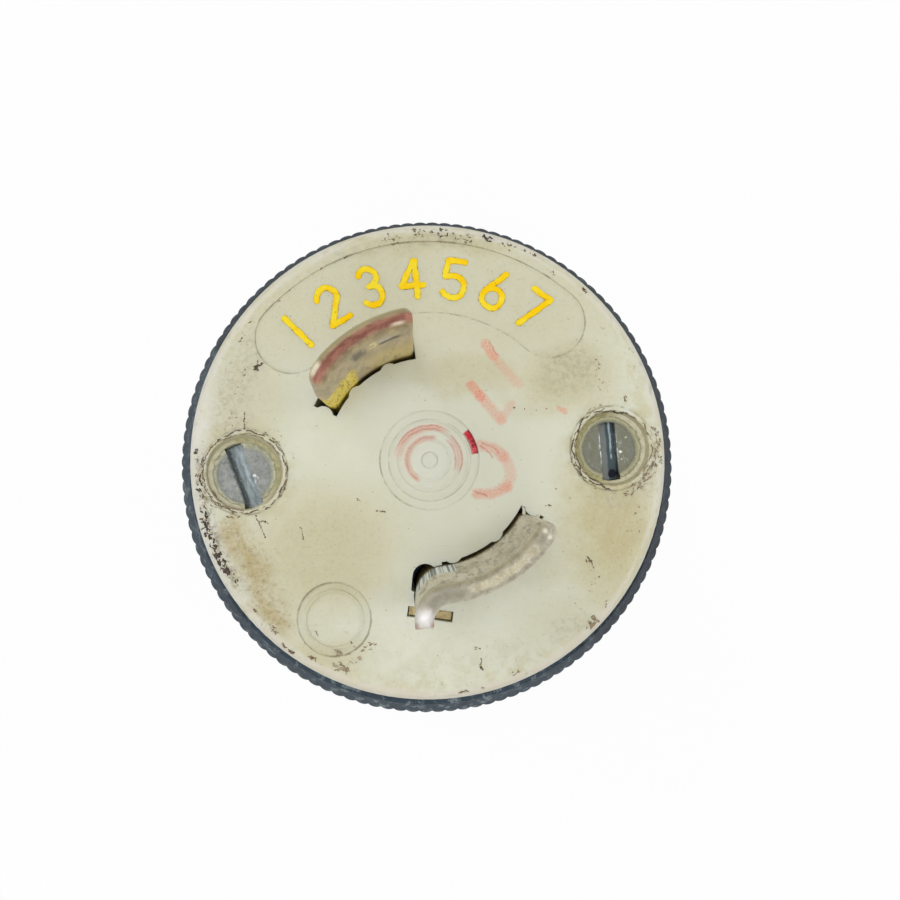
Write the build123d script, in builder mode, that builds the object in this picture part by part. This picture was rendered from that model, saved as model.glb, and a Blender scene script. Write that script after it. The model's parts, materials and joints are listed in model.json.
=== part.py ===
from build123d import *

import os
from math import cos, degrees, radians, sin

# Driving dimensions, in millimetres and degrees.
# The plug stands on its cord end, blades up, with Z along its axis.

# Blades: curved strips on a common circle
blade_inner_radius = 8.2
blade_thickness = 1.2
blade_length = 14.0
blade_tip_flat = 0.2
blade_lead_round = 2.0
blade_lead_taper = 0.55
hooked_lead_taper = 0.1
blade_taper_length = 7.0
blade_trail_round = 0.7
hot_blade_middle = 121.45
hot_blade_span = 53.7
neutral_blade_middle = -60.0
neutral_blade_span = 54.0
hook_inside_radius = 1.15
hook_leg_length = 0.12
hook_root_length = 1.27
hook_root_lag = 6.5
hook_root_tilt = 14.4
hook_root_width = 3.3
hook_root_plate = 0.62
hook_root_depth = 0.6

# Slots for the blades
slot_gap_inside = 0.3
slot_gap_outside = 0.45
slot_lead_gap = 0.45
slot_trail_gap = 0.08
slot_nub_radius = 0.75
slot_nub_height = 0.24
slot_end_nub_height = 0.36
hot_nub_places = (0.3, 0.735)
neutral_nub_places = (0.13, 0.64)
hook_slot_gap = 0.08
hook_slot_end_gap = 0.1
hook_pocket_circles = ((2.2, 218.8, 0.97), (2.52, 250.1, 0.19))
carrier_slot_gap = 0.15

# Terminals on the back of the blades
terminal_screw_radius = 1.6
terminal_head_radius = 2.4
terminal_head_height = 1.8
terminal_head_round = 0.4
terminal_slot_width = 0.9
terminal_slot_depth = 0.9
terminal_thread_gap = 0.05
terminal_tip_length = 2.6
terminal_relief_gap = 0.15
terminal_relief_extra = 0.8
foot_width = 8.0
foot_margin = 0.25
foot_gap = 0.5
wire_clamp_thickness = 1.0
wire_clamp_width = 7.2
wire_clamp_groove = 0.3
wire_clamp_groove_width = 0.6
wire_clamp_hole_gap = 0.25

# Face plate and blade carrier
ledge_width = 2.35
seat_width = 1.15
face_flange = 3.5
face_edge_round = 0.8
spigot_depth = 3.5
spigot_clearance = 0.32
spigot_contact = 0.05
carrier_gap = 0.1
carrier_thickness = 6.0
barrier_thickness = 2.0
barrier_height = 8.0
barrier_wall_gap = 0.6
panel_margin = 1.4
panel_width = 5.6
panel_half_span = 44.7
panel_depth = 0.12
mark_angle = -124.6
mark_radius = 2.82
mark_ring_radius = 2.1
mark_ring_width = 0.16
mark_depth = 0.12
gate_radius = 3.84
gate_ring_radii = (3.15, 2.45, 1.65)
gate_ring_width = 0.14
gate_dimple_radius = 0.62
gate_depth = 0.1
gate_dimple_depth = 0.2

# Face screws and their inserts
screw_inset = 4.25
screw_shift = (-0.15, 0.15)
screw_turn = 0.7
screw_radius = 1.6
screw_hole_gap = 0.35
screw_head_radius = 2.5
screw_head_height = 2.3
screw_head_round = 0.6
screw_head_sink = 0.55
screw_recess_gap = 0.37
screw_foot_gap = 0.06
screw_draft_depth = 0.9
screw_lip_width = 0.4
screw_lip_height = 0.15
screw_slot_width = 1.25
screw_slot_depth = 1.0
screw_slot_angles = (106.8, 91.0)
insert_radius = 2.5
insert_length = 8.0
insert_flange_radius = 2.9
insert_flange_height = 0.8
insert_thread_gap = 0.05
insert_seat_gap = 0.05
screw_tip_gap = 1.0
screw_tip_chamfer = 0.4
boss_wall = 0.9

# Shell
shell_wall = 2.7
collar_step = 1.74
collar_length = 10.5
collar_bevel_width = 1.0
collar_bevel_height = 1.5
collar_rear_bevel = 0.8
knurl_count = 120
knurl_depth = 0.21
grip_length = 8.0
flare_length = 9.0
flare_round = 6.0
base_round = 0.8

# Cord entry and clamp
cord_hole_radius = 6.0
cord_mouth_chamfer = 0.8
clamp_sill = 3.5
clamp_window = 9.0
clamp_lintel = 2.5
clamp_side_gap = 0.2
clamp_split = 1.5
clamp_ear_thickness = 4.5
clamp_ear_length = 3.6
clamp_arch_wall = 2.2
clamp_rib_height = 0.6
clamp_rib_width = 1.0
clamp_rib_spacing = 3.6
clamp_rib_gap = 0.1
clamp_screw_radius = 1.5
clamp_screw_wall = 1.9
clamp_screw_length = 11.0
clamp_screw_floor = 0.6
clamp_screw_gap = 0.05
clamp_ear_hole_gap = 0.25
clamp_head_radius = 2.6
clamp_head_height = 1.9
clamp_head_round = 0.7
clamp_slot_width = 0.9
clamp_slot_depth = 0.9

# Sizes that follow from the above
blade_outer_radius = blade_inner_radius + blade_thickness
blade_mid_radius = blade_inner_radius + blade_thickness / 2
blade_tip_round = (blade_thickness - blade_tip_flat) / 2
hot_blade_start = hot_blade_middle - hot_blade_span / 2
hot_blade_end = hot_blade_middle + hot_blade_span / 2
neutral_blade_start = neutral_blade_middle - neutral_blade_span / 2
neutral_blade_end = neutral_blade_middle + neutral_blade_span / 2
hook_outside_radius = hook_inside_radius + blade_thickness
foot_length = 2 * terminal_head_radius + foot_margin
foot_end_radius = blade_outer_radius + foot_length
terminal_radius = blade_outer_radius + foot_length / 2
chamber_radius = foot_end_radius + foot_gap
mouth_radius = chamber_radius + ledge_width
face_radius = mouth_radius + seat_width
collar_radius = face_radius + collar_step
grip_radius = chamber_radius + shell_wall
screw_circle_radius = face_radius - screw_inset
screw_recess_radius = screw_head_radius + screw_recess_gap
panel_mid_radius = face_radius - panel_margin - panel_width / 2
boss_radius = insert_flange_radius + boss_wall
clamp_screw_offset = cord_hole_radius + clamp_screw_wall + clamp_screw_radius
neck_radius = clamp_screw_offset + clamp_ear_length
face_shift = spigot_clearance - spigot_contact
through_cut = 3 * collar_radius

# Heights above the cord end
neck_top = clamp_sill + clamp_window + clamp_lintel
grip_base = neck_top + flare_length
collar_base = grip_base + grip_length
collar_front = collar_base + collar_length
face_top = collar_front + face_flange
spigot_base = collar_front - spigot_depth
carrier_top = spigot_base - carrier_gap
ledge = carrier_top - carrier_thickness
foot_base = ledge - blade_thickness
wire_clamp_base = foot_base - wire_clamp_thickness
blade_tip = face_top + blade_length
screw_seat = face_top - screw_head_sink - screw_head_height
insert_base = ledge - insert_length
clamp_middle = clamp_sill + clamp_window / 2


def point_at(radius, angle):
    """Point on a circle about the axis."""
    return (radius * cos(radians(angle)), radius * sin(radians(angle)))


def face_level(height):
    """Plane across the face's own axis, which lies a little off the shell's within its clearance."""
    return Plane((0, face_shift, height))


def curved_strip(inner, outer, start, end):
    """Curved strip between two radii and two angles."""
    with BuildSketch() as strip:
        with BuildLine():
            CenterArc((0, 0), inner, start, end - start)
            Line(point_at(inner, end), point_at(outer, end))
            CenterArc((0, 0), outer, end, start - end)
            Line(point_at(outer, start), point_at(inner, start))
        make_face()
    return strip.sketch


def radial_tab(inner, outer, width, angle):
    """Strip that runs outwards along one radius and ends on a circle about the axis."""
    with BuildSketch() as tab:
        with Locations(point_at(inner, angle)):
            Rectangle(outer - inner, width, rotation=angle, align=(Align.MIN, Align.CENTER))
        Circle(outer, mode=Mode.INTERSECT)
    return tab.sketch


# The hook turns outwards at the neutral blade's clockwise end.
hook_turn = neutral_blade_start
hook_centre_radius = blade_outer_radius + hook_inside_radius
hook_centre = Vector(*point_at(hook_centre_radius, hook_turn))
hook_root_radius = hook_centre_radius + hook_root_length
hook_root_angle = hook_turn - hook_root_lag
hook_root_turn = hook_turn - hook_root_tilt


def hook_bend(inside, outside):
    """Quarter ring about the hook's centre, from the blade to the hook's leg."""
    with BuildSketch() as bend:
        with Locations(hook_centre):
            add(curved_strip(inside, outside, hook_turn + 180, hook_turn + 270))
    return bend.sketch


def hook_leg(length, inside, outside):
    """Rectangle along the hook's leg, which goes on from the bend away from the axis."""
    with BuildSketch() as leg:
        with Locations(hook_centre + Vector(*point_at(inside, hook_turn - 90))):
            Rectangle(length, outside - inside, rotation=hook_turn, align=(Align.MIN, Align.MAX))
    return leg.sketch


def hook_root(gap):
    """Rectangle of the plate at the hook's root, with a gap all round."""
    with BuildSketch() as root:
        with Locations(point_at(hook_root_radius, hook_root_angle)):
            Rectangle(hook_root_plate + 2 * gap, hook_root_width + 2 * gap, rotation=hook_root_turn)
    return root.sketch


with BuildSketch() as hot_section:
    add(curved_strip(blade_inner_radius, blade_outer_radius, hot_blade_start, hot_blade_end))

with BuildSketch() as neutral_section:
    add(curved_strip(blade_inner_radius, blade_outer_radius, neutral_blade_start, neutral_blade_end))
    add(hook_bend(hook_inside_radius, hook_outside_radius))
    add(hook_leg(hook_leg_length, hook_inside_radius, hook_outside_radius))

with BuildSketch() as neutral_root_section:
    add(hook_leg(hook_root_length, hook_inside_radius, hook_outside_radius))
    add(hook_root(0))


def hook_pocket():
    """Opening beside the hook's bend: the hull of a large circle and a small one."""
    with BuildSketch() as pocket:
        for distance, turn, radius in hook_pocket_circles:
            with Locations(hook_centre + Vector(*point_at(distance, hook_turn + turn))):
                Circle(radius)
        make_hull()
    return pocket.sketch


def hook_slot(gap_inside, gap_outside, hook_gap, end_angle):
    """Slot for the hooked blade, with gaps on the blade's two faces, the hook's back and the hook's root."""
    inner = blade_inner_radius - gap_inside
    outer = blade_outer_radius + gap_outside
    inside = hook_inside_radius - gap_outside
    outside = hook_outside_radius + hook_gap
    with BuildSketch() as slot:
        add(curved_strip(inner, outer, neutral_blade_start, end_angle))
        add(hook_bend(inside, outside))
        add(hook_leg(hook_root_length, inside, outside))
        add(hook_root(hook_slot_end_gap))
    return slot.sketch


# Angles that the gaps at a slot's ends take on the blade circle
lead_gap_angle = degrees(slot_lead_gap / blade_mid_radius)
trail_gap_angle = degrees(slot_trail_gap / blade_mid_radius)
slot_inner_radius = blade_inner_radius - slot_gap_inside
slot_outer_radius = blade_outer_radius + slot_gap_outside
nub_centre_radius = slot_inner_radius + slot_nub_height - slot_nub_radius
end_nub_angle = degrees((slot_lead_gap + slot_nub_radius - slot_end_nub_height) / blade_mid_radius)
end_nub_centre_radius = (slot_inner_radius + slot_outer_radius) / 2

with BuildSketch() as hot_slot:
    add(
        curved_strip(
            slot_inner_radius,
            slot_outer_radius,
            hot_blade_start - trail_gap_angle,
            hot_blade_end + lead_gap_angle,
        )
    )
    for place in hot_nub_places:
        with Locations(point_at(nub_centre_radius, hot_blade_start + place * hot_blade_span)):
            Circle(slot_nub_radius, mode=Mode.SUBTRACT)
    with Locations(point_at(end_nub_centre_radius, hot_blade_end + end_nub_angle)):
        Circle(slot_nub_radius, mode=Mode.SUBTRACT)

with BuildSketch() as neutral_slot:
    add(hook_slot(slot_gap_inside, slot_gap_outside, hook_slot_gap, neutral_blade_end + lead_gap_angle))
    add(hook_pocket())
    for place in neutral_nub_places:
        with Locations(point_at(nub_centre_radius, neutral_blade_start + place * neutral_blade_span)):
            Circle(slot_nub_radius, mode=Mode.SUBTRACT)
    with Locations(point_at(end_nub_centre_radius, neutral_blade_end + end_nub_angle)):
        Circle(slot_nub_radius, mode=Mode.SUBTRACT)

carrier_end_angle = degrees(carrier_slot_gap / blade_inner_radius)
with BuildSketch() as carrier_slots:
    add(
        curved_strip(
            blade_inner_radius - carrier_slot_gap,
            blade_outer_radius + carrier_slot_gap,
            hot_blade_start - carrier_end_angle,
            hot_blade_end + carrier_end_angle,
        )
    )
    carrier_hook_end = neutral_blade_end + carrier_end_angle
    add(hook_slot(carrier_slot_gap, carrier_slot_gap, carrier_slot_gap, carrier_hook_end))

# The recesses are on the face's axis, and the screws stand a little aside in them.
recess_places = [(-screw_circle_radius, 0), (screw_circle_radius, 0)]
screw_angles = (180 + screw_turn, screw_turn)
screw_places = [
    (x + screw_shift[0], y + screw_shift[1])
    for x, y in (point_at(screw_circle_radius, angle) for angle in screw_angles)
]

# Middle line of the face's arched panel
panel_line = CenterArc((0, 0), panel_mid_radius, 90 - panel_half_span, 2 * panel_half_span)

# Face plate: an ivory disc with a spigot that enters the shell's mouth
with BuildPart() as face_plate:
    with BuildSketch(face_level(collar_front)):
        Circle(face_radius)
    extrude(amount=face_flange)
    fillet(face_plate.edges().group_by(Axis.Z)[-1], face_edge_round)
    with BuildSketch(face_level(spigot_base)):
        Circle(mouth_radius - spigot_clearance)
    extrude(amount=spigot_depth)
    with BuildSketch(face_level(face_top)):
        with Locations(*recess_places):
            Circle(screw_recess_radius + screw_lip_width)
    extrude(amount=screw_lip_height)
    for recess_place, screw_place in zip(recess_places, screw_places):
        with BuildSketch(face_level(face_top + screw_lip_height)):
            with Locations(recess_place):
                Circle(screw_recess_radius)
        with BuildSketch(Plane.XY.offset(face_top - screw_draft_depth)):
            with Locations(screw_place):
                Circle(screw_head_radius + screw_foot_gap)
        loft(mode=Mode.SUBTRACT)
    with BuildSketch(Plane.XY.offset(screw_seat)):
        with Locations(*screw_places):
            Circle(screw_head_radius + screw_foot_gap)
    extrude(amount=face_top - screw_draft_depth - screw_seat, mode=Mode.SUBTRACT)
    with BuildSketch(face_level(screw_seat)):
        with Locations(*screw_places):
            Circle(screw_radius + screw_hole_gap)
    extrude(amount=spigot_base - screw_seat, mode=Mode.SUBTRACT)
    with BuildSketch(face_level(face_top)):
        add(hot_slot.sketch)
        add(neutral_slot.sketch)
    extrude(amount=spigot_base - face_top, mode=Mode.SUBTRACT)
    with BuildSketch(face_level(face_top)):
        SlotArc(panel_line, panel_width)
    extrude(amount=-panel_depth, mode=Mode.SUBTRACT)
    with BuildSketch(face_level(face_top)):
        with Locations(point_at(screw_circle_radius, mark_angle)):
            Circle(mark_radius)
            Circle(mark_ring_radius + mark_ring_width, mode=Mode.SUBTRACT)
            Circle(mark_ring_radius)
    extrude(amount=-mark_depth, mode=Mode.SUBTRACT)
    with BuildSketch(face_level(face_top)):
        Circle(gate_radius)
        for ring_radius in gate_ring_radii:
            Circle(ring_radius, mode=Mode.SUBTRACT)
            Circle(ring_radius - gate_ring_width)
    extrude(amount=-gate_depth, mode=Mode.SUBTRACT)
    with BuildSketch(face_level(face_top)):
        Circle(gate_dimple_radius)
    extrude(amount=-gate_dimple_depth, mode=Mode.SUBTRACT)
face_plate.part.label = "face_plate"

# Blade carrier: an insulating disc under the face, with a barrier between the poles
barrier_angle = hot_blade_middle - 90
terminal_places = [point_at(terminal_radius, angle) for angle in (hot_blade_middle, neutral_blade_middle)]
with BuildPart() as blade_carrier:
    with BuildSketch(face_level(ledge)):
        Circle(mouth_radius - spigot_clearance)
        with Locations(*screw_places):
            Circle(screw_radius + screw_hole_gap, mode=Mode.SUBTRACT)
        add(carrier_slots.sketch, mode=Mode.SUBTRACT)
    extrude(amount=carrier_thickness)
    with BuildSketch(face_level(ledge)):
        with Locations(*terminal_places):
            Circle(terminal_screw_radius + terminal_relief_gap)
    extrude(amount=terminal_tip_length + terminal_relief_extra, mode=Mode.SUBTRACT)
    with BuildSketch(face_level(ledge)):
        Rectangle(2 * (chamber_radius - barrier_wall_gap), barrier_thickness, rotation=barrier_angle)
        with Locations(*screw_places):
            Circle(boss_radius + barrier_wall_gap, mode=Mode.SUBTRACT)
    extrude(amount=-barrier_height)
blade_carrier.part.label = "blade_carrier"

# Plain blade with a foot bent outwards under the carrier
with BuildPart() as hot_blade:
    with BuildSketch(face_level(foot_base)):
        add(hot_section.sketch)
    extrude(amount=blade_tip - foot_base)
    lead_corner = hot_blade.edges().group_by(Axis.Z)[-1].filter_by(GeomType.LINE).sort_by(Axis.X)[0]
    lead_end = hot_blade.faces().filter_by(GeomType.PLANE).sort_by(Axis.X)[0]
    chamfer(lead_corner, blade_taper_length, blade_lead_taper, reference=lead_end)
    taper_corner = hot_blade.edges().group_by(Axis.Z)[-1].filter_by(GeomType.LINE).sort_by(Axis.X)[0]
    fillet(taper_corner, blade_lead_round)
    trail_corner = hot_blade.edges().group_by(Axis.Z)[-1].filter_by(GeomType.LINE).sort_by(Axis.X)[-1]
    fillet(trail_corner, blade_trail_round)
    fillet(hot_blade.edges().group_by(Axis.Z)[-1].filter_by(GeomType.CIRCLE), blade_tip_round)
    with BuildSketch(face_level(foot_base)):
        add(radial_tab(blade_mid_radius, foot_end_radius, foot_width, hot_blade_middle))
    extrude(amount=blade_thickness)
    with BuildSketch(face_level(foot_base)):
        with Locations(point_at(terminal_radius, hot_blade_middle)):
            Circle(terminal_screw_radius + terminal_thread_gap)
    extrude(amount=blade_thickness, mode=Mode.SUBTRACT)
hot_blade.part.label = "hot_blade"

# Hooked blade: the hook keys it to one way round, and a plate at its root fills the slot's end
with BuildPart() as neutral_blade:
    with BuildSketch(face_level(foot_base)):
        add(neutral_section.sketch)
    extrude(amount=blade_tip - foot_base)
    lead_corner = neutral_blade.edges().group_by(Axis.Z)[-1].filter_by(GeomType.LINE).sort_by(Axis.X)[-1]
    lead_end = neutral_blade.faces().filter_by(GeomType.PLANE).sort_by(Axis.X)[-1]
    chamfer(lead_corner, blade_taper_length, hooked_lead_taper, reference=lead_end)
    taper_corner = neutral_blade.edges().group_by(Axis.Z)[-1].filter_by(GeomType.LINE).sort_by(Axis.X)[-1]
    fillet(taper_corner, blade_lead_round)
    fillet(neutral_blade.edges().group_by(Axis.Z)[-1].filter_by(GeomType.CIRCLE), blade_tip_round)
    with BuildSketch(face_level(ledge)):
        add(neutral_root_section.sketch)
    extrude(amount=face_top - hook_root_depth - ledge)
    with BuildSketch(face_level(foot_base)):
        add(radial_tab(blade_mid_radius, foot_end_radius, foot_width, neutral_blade_middle))
    extrude(amount=blade_thickness)
    with BuildSketch(face_level(foot_base)):
        with Locations(point_at(terminal_radius, neutral_blade_middle)):
            Circle(terminal_screw_radius + terminal_thread_gap)
    extrude(amount=blade_thickness, mode=Mode.SUBTRACT)
neutral_blade.part.label = "neutral_blade"


def wire_clamp(angle):
    """Square pressure plate with two wire grooves, under the foot of the blade at this angle."""
    with BuildPart() as plate:
        with BuildSketch(face_level(wire_clamp_base)):
            add(radial_tab(terminal_radius - terminal_head_radius, foot_end_radius, wire_clamp_width, angle))
            with Locations(point_at(terminal_radius, angle)):
                Circle(terminal_screw_radius + wire_clamp_hole_gap, mode=Mode.SUBTRACT)
        extrude(amount=wire_clamp_thickness)
        groove_offset = (wire_clamp_width / 2 + terminal_screw_radius) / 2
        for side in (-1, 1):
            aside = Vector(*point_at(side * groove_offset, angle + 90))
            centre = Vector(*point_at(terminal_radius, angle)) + aside
            with BuildSketch(face_level(foot_base)):
                with Locations(centre):
                    Rectangle(through_cut, wire_clamp_groove_width, rotation=angle)
            extrude(amount=-wire_clamp_groove, mode=Mode.SUBTRACT)
    return plate.part


def slotted_screw(shank_radius, shank_length, head_radius, head_height, head_round, slot_width, slot_depth):
    """Screw along Z with its head on top, measured from the head's seat."""
    with BuildPart() as screw:
        with BuildSketch():
            Circle(head_radius)
        extrude(amount=head_height)
        fillet(screw.edges().group_by(Axis.Z)[-1], head_round)
        with BuildSketch():
            Circle(shank_radius)
        extrude(amount=-shank_length)
        chamfer(screw.edges().group_by(Axis.Z)[0], screw_tip_chamfer)
        with BuildSketch(Plane.XY.offset(head_height)):
            Rectangle(through_cut, slot_width)
        extrude(amount=-slot_depth, mode=Mode.SUBTRACT)
    return screw.part


# Terminals: a pressure plate and a binding screw on each blade's foot
hot_plate = wire_clamp(hot_blade_middle)
with BuildPart() as hot_wire_clamp:
    add(hot_plate)
hot_wire_clamp.part.label = "hot_wire_clamp"

neutral_plate = wire_clamp(neutral_blade_middle)
with BuildPart() as neutral_wire_clamp:
    add(neutral_plate)
neutral_wire_clamp.part.label = "neutral_wire_clamp"

terminal_shank_length = ledge + terminal_tip_length - wire_clamp_base
terminal_screw = slotted_screw(
    terminal_screw_radius,
    terminal_shank_length,
    terminal_head_radius,
    terminal_head_height,
    terminal_head_round,
    terminal_slot_width,
    terminal_slot_depth,
)


def terminal_place(angle):
    """Place of a terminal screw, head down, under the pressure plate at this angle."""
    x, y = point_at(terminal_radius, angle)
    return Location((x, y + face_shift, wire_clamp_base), (180, 0, angle))


with BuildPart() as hot_terminal_screw:
    with Locations(terminal_place(hot_blade_middle)):
        add(terminal_screw)
hot_terminal_screw.part.label = "hot_terminal_screw"

with BuildPart() as neutral_terminal_screw:
    with Locations(terminal_place(neutral_blade_middle)):
        add(terminal_screw)
neutral_terminal_screw.part.label = "neutral_terminal_screw"

# Face screws, centred on the shell's inserts
face_screw_length = screw_seat - insert_base - screw_tip_gap
face_screw = slotted_screw(
    screw_radius,
    face_screw_length,
    screw_head_radius,
    screw_head_height,
    screw_head_round,
    screw_slot_width,
    screw_slot_depth,
)
with BuildPart() as face_screws:
    for (x, y), slot_angle in zip(screw_places, screw_slot_angles):
        with Locations(Location((x, y, screw_seat), (0, 0, slot_angle))):
            add(face_screw)
face_screws.part.label = "face_screws"

# Threaded inserts in the shell's two bosses
with BuildPart() as shell_inserts:
    with BuildSketch(Plane.XY.offset(insert_base)):
        with Locations(*screw_places):
            Circle(insert_radius)
    extrude(amount=insert_length)
    with BuildSketch(Plane.XY.offset(ledge - insert_flange_height)):
        with Locations(*screw_places):
            Circle(insert_flange_radius)
    extrude(amount=insert_flange_height)
    with BuildSketch(Plane.XY.offset(insert_base)):
        with Locations(*screw_places):
            Circle(screw_radius + insert_thread_gap)
    extrude(amount=insert_length, mode=Mode.SUBTRACT)
shell_inserts.part.label = "shell_inserts"

# Space inside the shell: the wiring chamber and the mouth, less the two screw bosses
with BuildPart() as wiring_space:
    with BuildSketch(Plane.XZ):
        with BuildLine():
            Polyline(
                (0, neck_top),
                (cord_hole_radius, neck_top),
                (chamber_radius, grip_base),
                (chamber_radius, ledge),
                (mouth_radius, ledge),
                (mouth_radius, collar_front),
                (0, collar_front),
                close=True,
            )
        make_face()
    revolve(axis=Axis.Z)
    with BuildSketch(Plane.XY.offset(neck_top)):
        with Locations(*screw_places):
            Circle(boss_radius)
    extrude(amount=ledge - neck_top, mode=Mode.SUBTRACT)

# Shell: knurled collar, flared grip and a neck with the clamp's window
knurl_pitch = 360 / knurl_count
knurl_root_radius = collar_radius - knurl_depth
clamp_plane = Plane((0, -clamp_split, clamp_middle), x_dir=(1, 0, 0), z_dir=(0, 1, 0))
clamp_places = [(-clamp_screw_offset, 0), (clamp_screw_offset, 0)]
clamp_screw_depth = clamp_screw_length - clamp_ear_thickness
with BuildPart() as body_shell:
    with BuildSketch(Plane.XY.offset(collar_base)):
        with BuildLine():
            for tooth in range(knurl_count):
                ThreePointArc(
                    point_at(knurl_root_radius, tooth * knurl_pitch),
                    point_at(collar_radius, (tooth + 0.5) * knurl_pitch),
                    point_at(knurl_root_radius, (tooth + 1) * knurl_pitch),
                )
        make_face()
    extrude(amount=collar_length)
    with BuildSketch(Plane.XZ):
        with BuildLine():
            Polyline(
                (0, collar_base),
                (collar_radius - collar_rear_bevel, collar_base),
                (collar_radius, collar_base + collar_rear_bevel),
                (collar_radius, collar_front - collar_bevel_height),
                (collar_radius - collar_bevel_width, collar_front),
                (0, collar_front),
                close=True,
            )
        make_face()
    revolve(axis=Axis.Z, mode=Mode.INTERSECT)
    with BuildSketch(Plane.XZ):
        with BuildLine():
            side = FilletPolyline(
                (neck_radius, 0),
                (neck_radius, neck_top),
                (grip_radius, grip_base),
                (grip_radius, collar_front - collar_bevel_height),
                radius=flare_round,
            )
            Polyline(side @ 1, (0, collar_front - collar_bevel_height), (0, 0), side @ 0)
        make_face()
    revolve(axis=Axis.Z)
    fillet(body_shell.edges().group_by(Axis.Z)[0], base_round)
    add(wiring_space.part, mode=Mode.SUBTRACT)
    with BuildSketch():
        Circle(cord_hole_radius)
    extrude(amount=neck_top, mode=Mode.SUBTRACT)
    base_circles = body_shell.edges().filter_by(GeomType.CIRCLE).group_by(Axis.Z)[0]
    chamfer(base_circles.sort_by(SortBy.RADIUS)[0], cord_mouth_chamfer)
    with BuildSketch(Plane.XY.offset(clamp_sill)):
        with Locations((0, -clamp_split)):
            Rectangle(through_cut, through_cut, align=(Align.CENTER, Align.MAX))
    extrude(amount=clamp_window, mode=Mode.SUBTRACT)
    with BuildSketch(clamp_plane):
        with Locations(*clamp_places):
            Circle(clamp_screw_radius + clamp_screw_gap)
    extrude(amount=clamp_screw_depth + clamp_screw_floor, mode=Mode.SUBTRACT)
    with BuildSketch(Plane.XY.offset(insert_base - insert_seat_gap)):
        with Locations(*screw_places):
            Circle(insert_radius + insert_seat_gap)
    extrude(amount=insert_length + insert_seat_gap, mode=Mode.SUBTRACT)
    with BuildSketch(Plane.XY.offset(ledge - insert_flange_height)):
        with Locations(*screw_places):
            Circle(insert_flange_radius + insert_seat_gap)
    extrude(amount=insert_flange_height, mode=Mode.SUBTRACT)
body_shell.part.label = "body_shell"

# Cord clamp: an arched strap with two ears, seated on the floor of the neck's window
clamp_notch_radius = cord_hole_radius + clamp_rib_gap + clamp_rib_height
clamp_arch_radius = clamp_notch_radius + clamp_arch_wall
clamp_height = clamp_window - 2 * clamp_side_gap
with BuildPart() as cord_clamp:
    with BuildSketch(Plane.XY.offset(clamp_sill + clamp_side_gap)):
        Circle(clamp_arch_radius)
        with Locations((0, -clamp_split)):
            Rectangle(through_cut, clamp_ear_thickness, align=(Align.CENTER, Align.MAX))
            Rectangle(through_cut, through_cut, align=(Align.CENTER, Align.MIN), mode=Mode.SUBTRACT)
        Circle(neck_radius - clamp_side_gap, mode=Mode.INTERSECT)
        Circle(clamp_notch_radius, mode=Mode.SUBTRACT)
    extrude(amount=clamp_height)
    for side in (-1, 1):
        rib_middle = clamp_middle + side * clamp_rib_spacing / 2
        with BuildSketch(Plane.XY.offset(rib_middle - clamp_rib_width / 2)):
            Circle(clamp_notch_radius + clamp_arch_wall / 2)
            Circle(clamp_notch_radius - clamp_rib_height, mode=Mode.SUBTRACT)
            with Locations((0, -clamp_split)):
                Rectangle(through_cut, through_cut, align=(Align.CENTER, Align.MIN), mode=Mode.SUBTRACT)
        extrude(amount=clamp_rib_width)
    with BuildSketch(clamp_plane):
        with Locations(*clamp_places):
            Circle(clamp_screw_radius + clamp_ear_hole_gap)
    extrude(amount=-clamp_ear_thickness, mode=Mode.SUBTRACT)
cord_clamp.part.label = "cord_clamp"

clamp_screw = slotted_screw(
    clamp_screw_radius,
    clamp_screw_length,
    clamp_head_radius,
    clamp_head_height,
    clamp_head_round,
    clamp_slot_width,
    clamp_slot_depth,
)
with BuildPart() as cord_clamp_screws:
    for side in (-1, 1):
        seat = (side * clamp_screw_offset, -clamp_split - clamp_ear_thickness, clamp_middle)
        with Locations(Location(seat, (90, 0, 0))):
            add(clamp_screw)
cord_clamp_screws.part.label = "cord_clamp_screws"

pieces = [
    face_plate,
    blade_carrier,
    hot_blade,
    neutral_blade,
    hot_wire_clamp,
    neutral_wire_clamp,
    hot_terminal_screw,
    neutral_terminal_screw,
    face_screws,
    shell_inserts,
    body_shell,
    cord_clamp,
    cord_clamp_screws,
]
os.makedirs("parts", exist_ok=True)
for piece in pieces:
    export_step(piece.part, f"parts/{piece.part.label}.step")
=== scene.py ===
"""Round locking plug that stands on its cord end and is seen on its face.

Ivory face with grime and red smears, a brass and a nickel blade, zinc screws, a knurled black shell
and painted numbers in the face's arched panel. All meshes are in metres, in the model's own frame.
"""
import functools
import json
import math

import bpy
import numpy as np
from mathutils import Matrix, Vector


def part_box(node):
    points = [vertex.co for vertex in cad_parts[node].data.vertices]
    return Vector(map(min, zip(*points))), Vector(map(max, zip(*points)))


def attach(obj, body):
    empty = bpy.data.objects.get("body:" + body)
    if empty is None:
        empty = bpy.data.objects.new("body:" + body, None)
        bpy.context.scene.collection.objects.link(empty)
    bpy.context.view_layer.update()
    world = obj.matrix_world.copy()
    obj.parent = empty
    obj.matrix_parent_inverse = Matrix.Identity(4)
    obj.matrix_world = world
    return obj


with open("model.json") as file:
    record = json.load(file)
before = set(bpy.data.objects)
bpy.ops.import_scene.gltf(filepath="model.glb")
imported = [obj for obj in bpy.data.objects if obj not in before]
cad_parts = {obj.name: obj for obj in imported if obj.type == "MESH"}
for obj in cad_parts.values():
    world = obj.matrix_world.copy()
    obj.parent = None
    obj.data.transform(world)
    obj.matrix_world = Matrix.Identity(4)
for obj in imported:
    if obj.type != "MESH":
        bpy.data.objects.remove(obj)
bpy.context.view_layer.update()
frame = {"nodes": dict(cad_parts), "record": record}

# Sizes and places, in millimetres and degrees
MM = 0.001
LIP_HEIGHT = 0.15
LIP_WIDTH = 0.4
SCREW_HEAD_RADIUS = 2.5
RECESS_RADIUS = 2.87
RECESS_DRAFT = 0.31
RECESS_DRAFT_DEPTH = 1.05
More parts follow.
